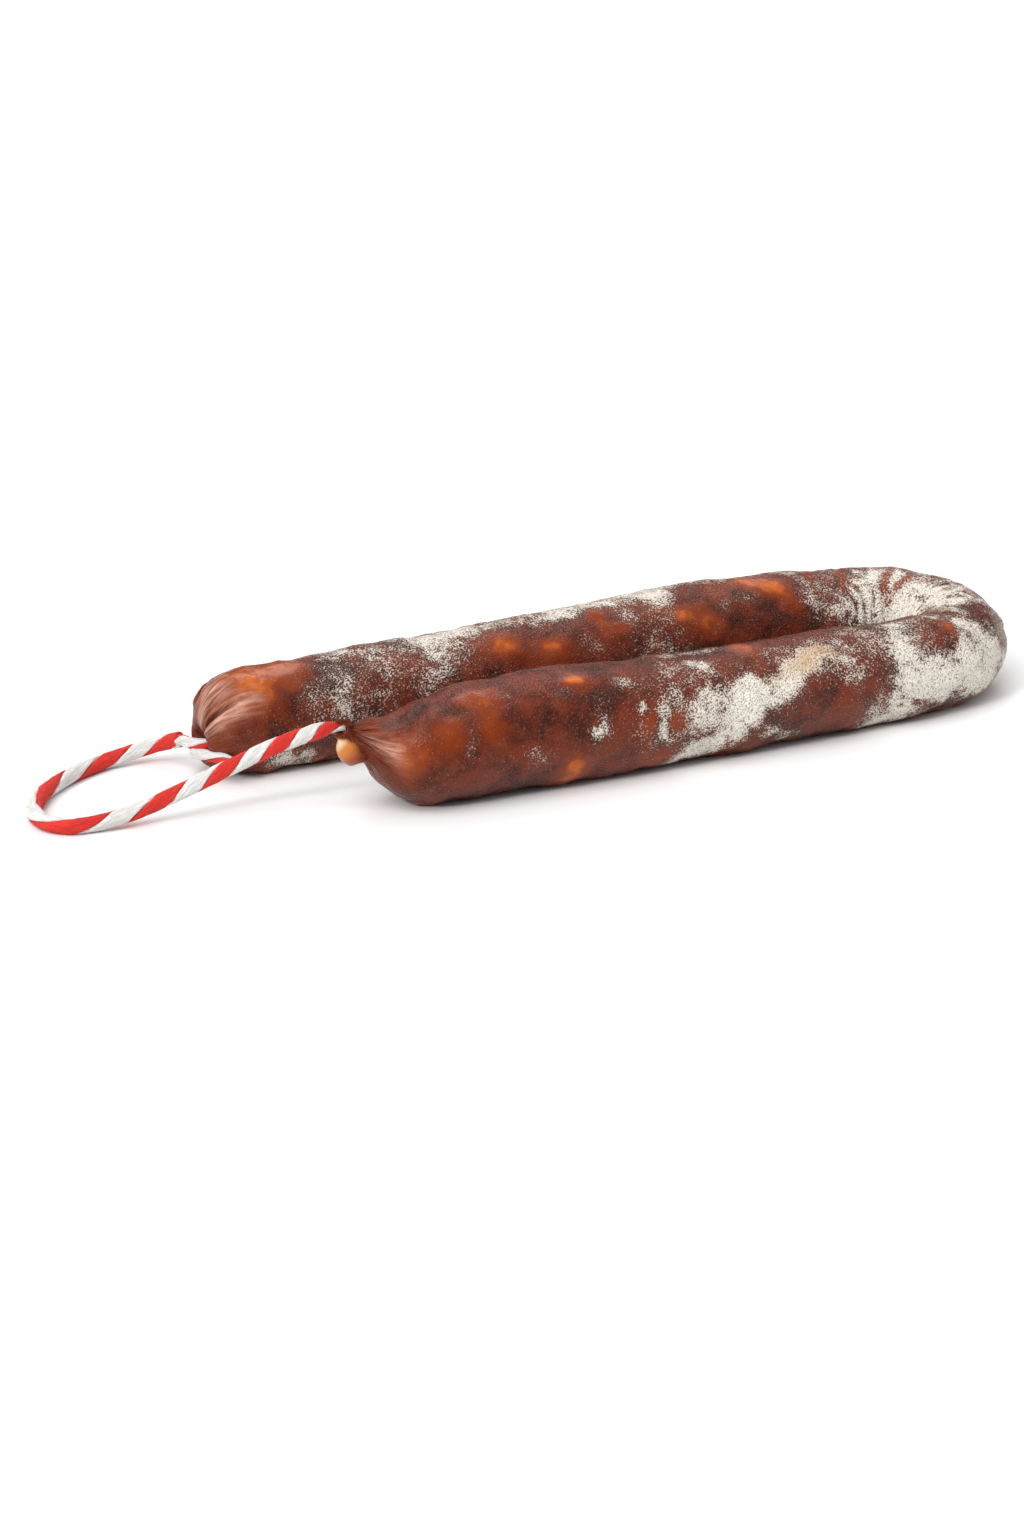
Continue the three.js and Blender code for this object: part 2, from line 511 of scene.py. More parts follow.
@dataclass(frozen=True)
class CasingFinish:
    """Natural casing over cured meat, with fat showing through and a white bloom on top.

    The skin's own marks say where each of these goes, and where shade and highlights are painted
    into its colour. Scales are cells a metre.
    """

    # The filling as it shows through the casing, from lean meat to fat.
    meat: Colour = (0.152, 0.021, 0.007)
    # The dark colour serves both the dark lean of the filling and the painted shade in furrows,
    # creases and under the bloom.
    dark_meat_and_shade: Colour = (0.034, 0.006, 0.004)
    fleck: Colour = (0.28, 0.060, 0.026)
    tip_meat: Colour = (0.26, 0.044, 0.014)
    fat: Colour = (0.22, 0.033, 0.005)
    rich_fat: Colour = (0.56, 0.120, 0.009)
    mottle_scale: float = 130.0
    mottle_detail: float = 4.0
    mottle_rough: float = 0.62
    mottle_band: Band = (0.28, 0.60)
    dent_shade: float = 0.16
    fleck_scale: float = 1600.0
    fleck_detail: float = 2.0
    fleck_rough: float = 0.6
    fleck_band: Band = (0.50, 0.70)
    fleck_strength: float = 0.45
    tip_strength: float = 0.6
    # Painted shade in the furrows of the tips: below this streak level the casing is darkened.
    furrow_shade_level: float = 0.55
    rich_band: Band = (0.35, 0.70)
    fat_band: Band = (0.08, 0.80)
    # The knob's colours: painted shade on its lower right side, its own amber in the middle, and a
    # painted highlight on its upper left side.
    amber_painted_shade: Colour = (0.26, 0.052, 0.012)
    amber: Colour = (0.56, 0.19, 0.040)
    amber_painted_highlight: Colour = (0.82, 0.60, 0.38)
    knob_shade_band: Band = (0.25, 0.80)
    knob_highlight_band: Band = (0.76, 0.94)
    knob_band: Band = (0.02, 0.60)
    # Painted sheen on the tips: a pale colour along the ridges of the gathered casing, standing for
    # highlights.
    drawn: Colour = (0.60, 0.33, 0.24)
    painted_sheen_level: float = 0.25
    # The bloom: single grains, and a thin film between them where there is a lot of it.
    # The thin colour is partly thin powder over the meat and partly painted shade between the
    # grains, where they lie low.
    thin_and_shaded_bloom: Colour = (0.38, 0.30, 0.23)
    bloom: Colour = (0.97, 0.91, 0.82)
    ochre: Colour = (0.60, 0.36, 0.15)
    ochre_strength: float = 0.8
    grains: float = 1900.0
    # Painted shade under the bloom: the meat beneath it is darkened as the amount rises.
    shade_under_bloom: float = 0.50
    least_thickness: float = 0.45
    thickness_band: Band = (0.30, 0.72)
    thin_grain: float = 0.42
    grain_gain: float = 0.60
    film_band: Band = (0.45, 0.88)
    film_strength: float = 0.74
    least_film: float = 0.10
    # Gloss and fine relief.
    gleam: Colour = (1.0, 0.66, 0.54)
    refraction: float = 1.39
    casing_roughness: float = 0.22
    knob_gloss: float = 0.12
    bloom_roughness: float = 0.86
    grit_height: float = 0.36
    drawn_height: float = 0.42
    relief: float = 0.0011
    relief_strength: float = 0.9

    def build(self, effects: Effects) -> bpy.types.Material:
        """The casing's material.

        Args:
            effects: the shared shader groups.

        Returns:
            The material.
        """
        material, n, shader = new_material("cured_casing")
        place = n.place()
        amount = n.attribute("bloom")
        specks = effects.use(n, effects.specks, Place=place, Grains=self.grains, Amount=amount)
        cover, crust = specks.outputs["Cover"], specks.outputs["Height"]
        drawn = effects.use(n, effects.streaks, Place=n.attribute("drawn", "Vector"), Scale=1.0)
        streak = drawn.outputs["Streak"]

        skin = self.casing_colour(n, place, streak, amount)
        powder = self.powder_colour(n, crust, amount)
        film = n.times(n.between(amount, *self.film_band), self.film_strength)
        film = n.math("MAXIMUM", film, n.times(amount, self.least_film))
        grain = n.plus(n.times(amount, self.grain_gain), self.thin_grain)
        opaque = n.times(cover, n.math("MINIMUM", grain, 1.0))
        colour = n.mix(opaque, n.mix(film, skin, powder), powder)

        roughness = n.add("ShaderNodeMapRange")
        smooth = n.less(self.casing_roughness, n.times(n.attribute("amber"), self.knob_gloss))
        n.feed(roughness, Value=cover, To_Min=smooth, To_Max=self.bloom_roughness)
        grit = n.times(n.attribute("grit"), self.grit_height)
        pull = n.times(n.times(streak, n.attribute("tip")), self.drawn_height)
        height = n.plus(n.times(crust, n.plus(amount, grit)), pull)
        relief = n.add("ShaderNodeBump")
        n.feed(relief, Height=height, Distance=self.relief, Strength=self.relief_strength)
        n.feed(shader, Base_Color=colour, Roughness=roughness.outputs["Result"])
        n.feed(shader, Normal=relief.outputs["Normal"], IOR=self.refraction)
        shader.inputs["Specular Tint"].default_value = (*self.gleam, 1.0)
        return material

    def casing_colour(
        self,
        n: Nodes,
        place: bpy.types.NodeSocket,
        streak: bpy.types.NodeSocket,
        amount: bpy.types.NodeSocket,
    ) -> bpy.types.NodeSocket:
        """The casing's colour before any bloom, with painted shade, a painted sheen on the tips and
        painted light on the knob.

        Args:
            n: the material's nodes.
            place: the surface's position.
            streak: 0 in the furrows of the drawn casing, 1 on its ridges.
            amount: how much bloom there is.

        Returns:
            The colour.
        """
        tip, fat, pale = n.attribute("tip"), n.attribute("fat"), n.attribute("pale")
        mottle = n.noise(place, self.mottle_scale, self.mottle_detail, self.mottle_rough)
        red = n.less(mottle, n.times(n.attribute("dent"), self.dent_shade))
        skin = n.mix(n.between(red, *self.mottle_band), self.dark_meat_and_shade, self.meat)
        grain = n.noise(place, self.fleck_scale, self.fleck_detail, self.fleck_rough)
        fleck = n.times(n.between(grain, *self.fleck_band), n.attribute("grit"))
        skin = n.mix(n.times(fleck, self.fleck_strength), skin, self.fleck)
        skin = n.mix(n.times(tip, self.tip_strength), skin, self.tip_meat)
        # Painted shade in the furrows of the gathered tips.
        skin = n.mix(n.times(n.less(self.furrow_shade_level, streak), tip), skin, self.dark_meat_and_shade)
        rich = n.between(n.times(fat, mottle), *self.rich_band)
        skin = n.mix(n.between(fat, *self.fat_band), skin, n.mix(rich, self.fat, self.rich_fat))
        # Painted shade and a painted highlight across the knob, by how pale each corner is.
        knob_shade_and_light = n.mix(n.between(pale, *self.knob_shade_band), self.amber_painted_shade, self.amber)
        knob_shade_and_light = n.mix(n.between(pale, *self.knob_highlight_band), knob_shade_and_light, self.amber_painted_highlight)
        skin = n.mix(n.between(n.attribute("amber"), *self.knob_band), skin, knob_shade_and_light)
        # Painted shade under the bloom.
        skin = n.mix(n.times(amount, self.shade_under_bloom), skin, self.dark_meat_and_shade)
        # Painted sheen: paler along the ridges of the streaks where the sheen marks lie.
        ridge = n.times(n.plus(streak, self.painted_sheen_level), n.attribute("sheen"))
        skin = n.mix(ridge, skin, self.drawn)
        # Painted shade in the creases of the folded tips.
        return n.mix(n.attribute("crease_shade"), skin, self.dark_meat_and_shade)

    def powder_colour(
        self, n: Nodes, crust: bpy.types.NodeSocket, amount: bpy.types.NodeSocket
    ) -> bpy.types.NodeSocket:
        """The bloom's colour: greyer where the grains lie low and thin, partly thin powder over the
        meat and partly painted shade between the grains; whiter where it lies thick; stained in a
        few places.

        Args:
            n: the material's nodes.
            crust: height of the grains.
            amount: how much bloom there is.

        Returns:
            The colour.
        """
        thick = n.times(crust, n.plus(amount, self.least_thickness))
        powder = n.mix(n.between(thick, *self.thickness_band), self.thin_and_shaded_bloom, self.bloom)
        return n.mix(n.times(n.attribute("ochre"), self.ochre_strength), powder, self.ochre)


class PlyColour(Enum):
    """The two plies of the hanging cord, with the colour of each."""

    RED = (0.86, 0.040, 0.026)
    WHITE = (0.97, 0.955, 0.92)


@dataclass(frozen=True)
class PlyFinish:
    """Soft matt yarn of one ply, with painted shade in the furrows between its yarns."""

    ply: PlyColour
    furrow_shade: float = 0.76
    fuzz_scale: float = 5200.0
    fuzz_detail: float = 2.0
    fuzz_rough: float = 0.6
    fuzz_height: float = 0.35
    relief: float = 0.0004
    relief_strength: float = 0.8
    roughness: float = 0.82
    gleam: float = 0.25
    sheen: float = 0.06
    sheen_roughness: float = 0.5

    def build(self, effects: Effects) -> bpy.types.Material:
        """The ply's material.

        Args:
            effects: the shared shader groups.

        Returns:
            The material.
        """
        material, n, shader = new_material(f"{self.ply.name.lower()}_ply")
        fibres = effects.use(n, effects.streaks, Place=n.attribute("yarn", "Vector"), Scale=1.0)
        streak = fibres.outputs["Streak"]
        fuzz = n.noise(n.place(), self.fuzz_scale, self.fuzz_detail, self.fuzz_rough)
        # Painted shade in the furrows between the yarns: the ply's colour darkened where the
        # streaks are low.
        furrow = tuple(part * self.furrow_shade for part in self.ply.value)
        relief = n.add("ShaderNodeBump")
        height = n.plus(streak, n.times(fuzz, self.fuzz_height))
        n.feed(relief, Height=height, Distance=self.relief, Strength=self.relief_strength)
        n.feed(shader, Base_Color=n.mix(streak, furrow, self.ply.value))
        n.feed(shader, Roughness=self.roughness, Normal=relief.outputs["Normal"])
        shader.inputs["Specular IOR Level"].default_value = self.gleam
        shader.inputs["Sheen Weight"].default_value = self.sheen
        shader.inputs["Sheen Roughness"].default_value = self.sheen_roughness
        return material


@dataclass(frozen=True)
class FloorFinish:
    """Plain pale studio paper."""

    colour: Colour = (0.90, 0.90, 0.90)
    roughness: float = 0.95
    gleam: float = 0.1

    def build(self) -> bpy.types.Material:
        """The floor's material.

        Returns:
            The material.
        """
        material, _, shader = new_material("studio_paper")
        shader.inputs["Base Color"].default_value = (*self.colour, 1.0)
        shader.inputs["Roughness"].default_value = self.roughness
        shader.inputs["Specular IOR Level"].default_value = self.gleam
        return material


# ---------------------------------------------------------------- the sausage


@dataclass(frozen=True)
class Axis:
    """The line through the middle of the sausage, in plan, from the near tie to the far tie.

    Args:
        near_leg: length before the bend starts.
        ease: length over which the legs turn into the bend, at either side.
        bend: length of the tightest part.
        far_leg: length after the bend.
        near_bow_radius: how gently the near leg bows.
        far_bow_radius: how gently the far leg bows.
        bend_radius: radius of the tightest part.
        start_heading: direction at the near tie, in radians.
        step: spacing of the points that the line is summed over.
    """

    near_leg: float = 188.0
    ease: float = 30.0
    bend: float = 44.0
    far_leg: float = 213.0
    near_bow_radius: float = 1900.0
    far_bow_radius: float = 5000.0
    bend_radius: float = 24.0
    start_heading: float = math.radians(-3.2)
    step: float = 0.5

    @property
    def length(self) -> float:
        """Length from tie to tie."""
        return self.near_leg + 2.0 * self.ease + self.bend + self.far_leg

    def curvature(self, along: np.ndarray) -> np.ndarray:
        """Curvature in plan.

        Args:
            along: distances along the axis.

        Returns:
            One over the radius in millimetres, at each distance.
        """
        ease_in = np.clip((along - self.near_leg) / self.ease, 0.0, 1.0)
        ease_out = np.clip((along - self.near_leg - self.ease - self.bend) / self.ease, 0.0, 1.0)
        near, mid, far = 1 / self.near_bow_radius, 1 / self.bend_radius, 1 / self.far_bow_radius
        bending = near + (mid - near) * ease_in
        return bending + (far - bending) * ease_out

    def walk(self, along: np.ndarray) -> tuple[np.ndarray, np.ndarray]:
        """Plan points and headings.

        Args:
            along: distances along the axis, which may run past its ends.

        Returns:
            Points (x, y) and headings in radians, one for each distance.
        """
        stations = np.arange(0.0, self.length + self.step, self.step)
        turn = self.curvature(stations[:-1] + self.step / 2) * self.step
        heading = self.start_heading + np.concatenate([[0.0], np.cumsum(turn)])
        middle = (heading[:-1] + heading[1:]) / 2
        x = np.concatenate([[0.0], np.cumsum(np.cos(middle) * self.step)])
        y = np.concatenate([[0.0], np.cumsum(np.sin(middle) * self.step)])
        aim = np.interp(along, stations, heading)
        past = along - np.clip(along, 0.0, self.length)
        px = np.interp(along, stations, x) + past * np.cos(aim)
        py = np.interp(along, stations, y) + past * np.sin(aim)
        return np.stack([px, py], axis=-1), aim


@dataclass(frozen=True)
class Patch:
    """A soft-edged mark on the skin.

    Args:
        along: its middle, in millimetres from the near tie.
        around: its middle, in degrees from the top towards the outside of the horseshoe.
        length: half its length along the sausage, in millimetres.
        width: half its width around the sausage, in millimetres.
        strength: how strong it is, negative where it clears another mark.
        slant: how far it leans, in degrees.
    """

    # Above 1 the middle of a patch is flatter and its edge steeper.
    EDGE: ClassVar[float] = 1.15

    along: float
    around: float
    length: float
    width: float
    strength: float = 1.0
    slant: float = 0.0

    def cover(
        self, along: np.ndarray, around: np.ndarray, girth: float, spread: float
    ) -> np.ndarray:
        """How strongly the patch marks each place.

        Args:
            along: distances along the sausage.
            around: degrees from the top.
            girth: millimetres around for each degree.
            spread: how much larger than its own size the patch is taken.

        Returns:
            The mark's strength at each place.
        """
        forward = along - self.along
        sideways = wrapped(around - self.around) * girth
        c, s = math.cos(math.radians(self.slant)), math.sin(math.radians(self.slant))
        lengthways = (c * forward + s * sideways) / (self.length * spread)
        across = (c * sideways - s * forward) / (self.width * spread)
        return self.strength * np.exp(-((lengthways**2 + across**2) ** self.EDGE))


@dataclass(frozen=True)
class Fold:
    """A furrow in the gathered casing, running back from a tie.

    Args:
        around: where it lies, in degrees from the top.
        depth: its depth in millimetres.
        length: how far it runs from the tie.
        width: half its width in millimetres.
        turn: degrees that it swings for each millimetre from the tie.
    """

    # Smallest radius that its width is measured at, where it starts, the share of its length
    # after which it fades, and its width at the tie against its full width.
    LEAST_RADIUS: ClassVar[float] = 2.0
    START: ClassVar[float] = 2.5
    FULL: ClassVar[float] = 0.45
    PINCH: ClassVar[float] = 0.45

    around: float
    depth: float
    length: float
    width: float
    turn: float = 0.0

    def press(self, reach: np.ndarray, around: np.ndarray, radius: np.ndarray) -> np.ndarray:
        """How far the fold presses each place in.

        Args:
            reach: distance from the tie over the surface.
            around: degrees from the top.
            radius: radius of the skin at each place.

        Returns:
            Depth in millimetres.
        """
        middle = self.around + self.turn * reach
        sideways = np.radians(wrapped(around - middle)) * np.maximum(radius, self.LEAST_RADIUS)
        fade = 1.0 - ramp(reach, self.FULL * self.length, self.length)
        fade = fade * ramp(reach, 0.0, self.START)
        spread = np.clip(reach / self.length, 0.0, 1.0)
        opening = self.width * (self.PINCH + (1.0 - self.PINCH) * spread)
        return self.depth * fade * bump(sideways / opening, 1.0)


# White bloom.
BLOOM = (
    # near leg, outer side: the white band that crosses it, and the crust on the outer bend
    Patch(103, 134, 8, 4, 1.0, -15),
    Patch(112, 123, 9, 3.4, 1.2, -30),
    Patch(121, 99, 5.2, 7, 1.35),
    Patch(125, 76, 4.5, 8, 1.25),
    Patch(123, 60, 6, 4, 0.8),
    Patch(137, 120, 9, 3.5, 0.75, 10),
    Patch(133, 68, 9, 4, 0.85, -10),
    Patch(143, 52, 9, 5, 0.75, -20),
    Patch(152, 40, 5, 3, 0.5, -20),
    Patch(178, 116, 8, 6, 1.1),
    Patch(186, 90, 9, 8, 1.15),
    Patch(200, 100, 10, 9, 1.3),
    Patch(211, 90, 6, 11, 1.0),
    Patch(186, 111, 5, 1.6, -0.6, 25),
    Patch(195, 121, 5, 1.8, -0.5, 25),
    Patch(177, 134, 10, 4, 0.6),
    Patch(184, 42, 4, 8, 0.55),
    Patch(206, 62, 3, 6, 0.7),
    Patch(210, 36, 3, 6, 0.7, -35),
    Patch(205, 12, 6, 3, 0.7, 35),
    Patch(190, 0, 7, 3, 0.55),
    Patch(163, 70, 6, 7, 0.42),
    Patch(128, 60, 26, 12, 0.30),
    Patch(182, 62, 24, 14, 0.30),
    Patch(175, 15, 34, 9, 0.26),
    Patch(100, 105, 14, 10, 0.25),
    # near leg, thinner dustings
    Patch(93, 86, 9, 9, 0.32),
    Patch(108, 78, 9, 9, 0.44),
    Patch(96, 92, 2.5, 6, 0.15),
    Patch(87, 66, 1.5, 1.6, 0.8),
    Patch(73, 78, 2.6, 4.5, 0.62, 30),
    Patch(54, 92, 4, 4, 0.40),
    Patch(104, 24, 7, 2.5, 0.52, 10),
    Patch(111, 36, 3, 3, 0.42),
    Patch(76, 50, 4, 2, 0.42, -20),
    Patch(85, 33, 3, 2.4, 0.48, 30),
    Patch(64, 38, 3, 2, 0.40),
    Patch(46, 28, 2.4, 1.2, 0.52),
    Patch(33, 76, 1.4, 3, 0.46),
    Patch(112, -4, 15, 3, 0.55),
    Patch(134, 22, 5, 3, 0.45),
    Patch(160, 25, 22, 9, 0.22),
    Patch(105, 50, 18, 10, 0.24),
    # the bend, white on its inner side with bare streaks between
    Patch(226, -22, 18, 6, 0.85, -10),
    Patch(240, -52, 18, 8, 1.15),
    Patch(262, -70, 18, 6, 1.0),
    Patch(226, 6, 10, 5, 0.55),
    Patch(262, -22, 8, 5, 0.75),
    Patch(272, -44, 9, 7, 0.8),
    Patch(286, -60, 11, 8, 0.58),
    Patch(276, -8, 7, 3.5, 0.5),
    Patch(240, -100, 32, 10, 0.9),
    Patch(228, 60, 14, 9, 0.45),
    Patch(236, 110, 22, 9, 0.55),
    # far leg, its top and the side that faces the near leg
    Patch(300, -2, 9, 2.6, 0.5),
    Patch(318, -8, 8, 3, 0.42),
    Patch(326, 2, 12, 3, 0.85),
    Patch(320, -34, 4, 4, 0.65),
    Patch(328, -34, 3, 4, 0.60),
    Patch(348, -40, 5, 6, 0.70),
    Patch(352, -74, 16, 5, 0.60),
    Patch(294, -40, 8, 12, 0.50),
    Patch(291, -14, 9, 6, 0.45),
    Patch(353, -24, 9, 7, 0.60),
    Patch(352, -2, 11, 4, 0.95),
    Patch(364, -42, 4, 6, 0.55),
    Patch(379, -56, 4, 4, 0.44),
    Patch(373, -6, 12, 3.4, 0.95),
    Patch(391, -2, 9, 4, 1.0),
    Patch(420, -2, 17, 4, 1.0),
    Patch(427, -24, 9, 6, 0.72),
    Patch(432, -50, 8, 6, 0.56),
    Patch(446, -26, 8, 6, 0.60),
    Patch(458, -6, 10, 4, 0.72),
    Patch(462, -44, 10, 8, 0.52),
    Patch(474, -52, 3, 6, 0.40),
    Patch(468, -84, 14, 7, 0.30),
    Patch(446, -80, 15, 7, 0.42),
    Patch(478, -20, 4, 3, -0.35),
    Patch(488, -60, 3, 5, 0.30),
    Patch(485, -112, 8, 5, 0.55),
    Patch(430, -42, 26, 18, 0.28),
    Patch(464, -58, 16, 18, 0.16),
    Patch(410, -10, 44, 6, 0.45),
    Patch(362, -42, 12, 14, 0.22),
    # broad soft patches over the bend and along the top of the far leg
    Patch(246, 2, 30, 9, 0.55),
    Patch(252, 48, 24, 12, 0.40),
    Patch(440, 15, 34, 4, 0.85),
    Patch(372, 14, 40, 4, 0.85),
    Patch(318, 12, 22, 3, 0.55),
)

# Fat showing through the casing.
FAT = (
    Patch(14, 74, 6, 8, 0.85),
    Patch(27, 60, 3.6, 6, 0.75),
    Patch(38, 28, 4.8, 3.6, 0.80),
    Patch(39, 58, 3.6, 4.8, 0.65),
    Patch(45, 76, 6, 4.8, 0.30),
    Patch(52, 46, 3.6, 3.6, 0.45),
    Patch(70, 25, 4.1, 2.9, 1.0),
    Patch(66, 126, 4.8, 4.8, 0.85),
    Patch(65, 110, 3.1, 3.6, 0.45),
    Patch(80, 112, 7.2, 4.8, 0.30),
    Patch(90, 80, 2.2, 4.3, 0.9),
    Patch(100, 80, 2.8, 4.3, 1.0),
    Patch(93, 128, 4.8, 3.6, 0.70),
    Patch(131, 3, 3.8, 4.8, 0.95),
    Patch(150, 122, 7.2, 4.8, 0.28),
    Patch(173, 100, 3.6, 6, 0.30),
    Patch(203, 33, 1.9, 4.1, 0.95),
    Patch(254, -30, 2.4, 7.2, 0.85, 25),
    Patch(262, -27, 1.8, 7, 0.85, 10),
    Patch(291, -6, 2.4, 6, 0.75, 10),
    Patch(279, -18, 1.9, 7.2, 0.75, 12),
    Patch(305, -38, 4.8, 4.8, 0.65),
    Patch(311, -22, 5.4, 3.8, 0.90),
    Patch(317, -10, 4.8, 2.6, 0.65),
    Patch(327, -12, 7.2, 3.6, 0.40),
    Patch(336, -60, 4.8, 3.6, 0.65),
    Patch(343, -46, 5.5, 4.3, 0.80),
    Patch(352, -36, 4.8, 3.6, 0.45),
    Patch(368, -49, 4.8, 2.6, 0.60),
    Patch(374, -26, 2.9, 3.8, 1.0),
    Patch(390, -50, 5.5, 3.8, 0.80),
    Patch(394, 2, 6, 3.6, 0.45),
    Patch(408, -42, 6.7, 5, 1.0),
    Patch(440, -35, 3.1, 3.4, 0.50),
    Patch(476, -12, 6, 7.2, 0.95),
    Patch(486, -26, 6.7, 7.2, 1.2),
    Patch(494, -48, 6, 6, 0.70),
    Patch(491, 4, 9.6, 6, 0.80),
    Patch(478, 20, 8.4, 4.8, 0.45),
)

# Yellowish stain in the bloom.
OCHRE = (Patch(150, 42, 7, 4, 0.75, -20), Patch(141, 50, 8, 4, 0.45), Patch(157, 34, 4, 2.6, 0.6))

# Furrows that run back from each tie.
NEAR_FOLDS = (
    Fold(6, 0.55, 20, 0.9, 0.3),
    Fold(26, 0.75, 15, 0.7, 0.9),
    Fold(40, 0.60, 22, 0.8, 1.0),
    Fold(52, 0.85, 14, 0.7, 1.3),
    Fold(66, 0.60, 19, 0.7, 1.4),
    Fold(79, 0.80, 13, 0.7, 1.2),
    Fold(93, 0.55, 17, 0.8, 1.0),
    Fold(108, 0.60, 12, 0.8, 0.5),
    Fold(128, 0.45, 12, 0.9),
    Fold(160, 0.45, 12, 1.0),
    Fold(-160, 0.50, 13, 1.0),
    Fold(-128, 0.60, 15, 0.9, -0.5),
    Fold(-104, 0.70, 19, 0.8, -0.8),
    Fold(-82, 0.60, 14, 0.8, -1.0),
    Fold(-60, 0.75, 20, 0.8, -0.9),
    Fold(-40, 0.55, 15, 0.8, -0.6),
    Fold(-20, 0.65, 18, 0.8, -0.2),
)

FAR_FOLDS = (
    Fold(-37, 2.3, 21, 0.95, -0.6),
    Fold(-82, 0.9, 17, 1.2, 0.4),
    Fold(-64, 0.35, 16, 0.8, 0.5),
    Fold(-6, 0.35, 15, 0.9, 0.6),
    Fold(24, 0.40, 17, 1.0, -0.3),
    Fold(70, 1.1, 18, 1.4),
    Fold(112, 0.6, 15, 1.1),
    Fold(160, 0.9, 16, 1.3),
    Fold(-128, 0.7, 15, 1.2),
)

# Painted sheen: pale marks on the lobes of both tips, standing for highlights.
PAINTED_SHEEN = (
    Patch(9.5, 72, 4.4, 5.5, 0.62),
    Patch(5, 60, 3, 4, 0.30),
    Patch(498, -50, 7, 4.6, 0.95),
    Patch(502, -6, 6, 5, 0.85),
)

# Swellings and hollows, whose strength is their height in millimetres.
SWELLS = (
    Patch(21, -18, 14, 13, -2.6),
    Patch(9, -18, 5, 8, 1.3),
    Patch(12, 118, 7, 8, 0.8),
    Patch(16, 75, 7, 9, 0.7),
    Patch(28, 62, 4, 12, -0.7),
)


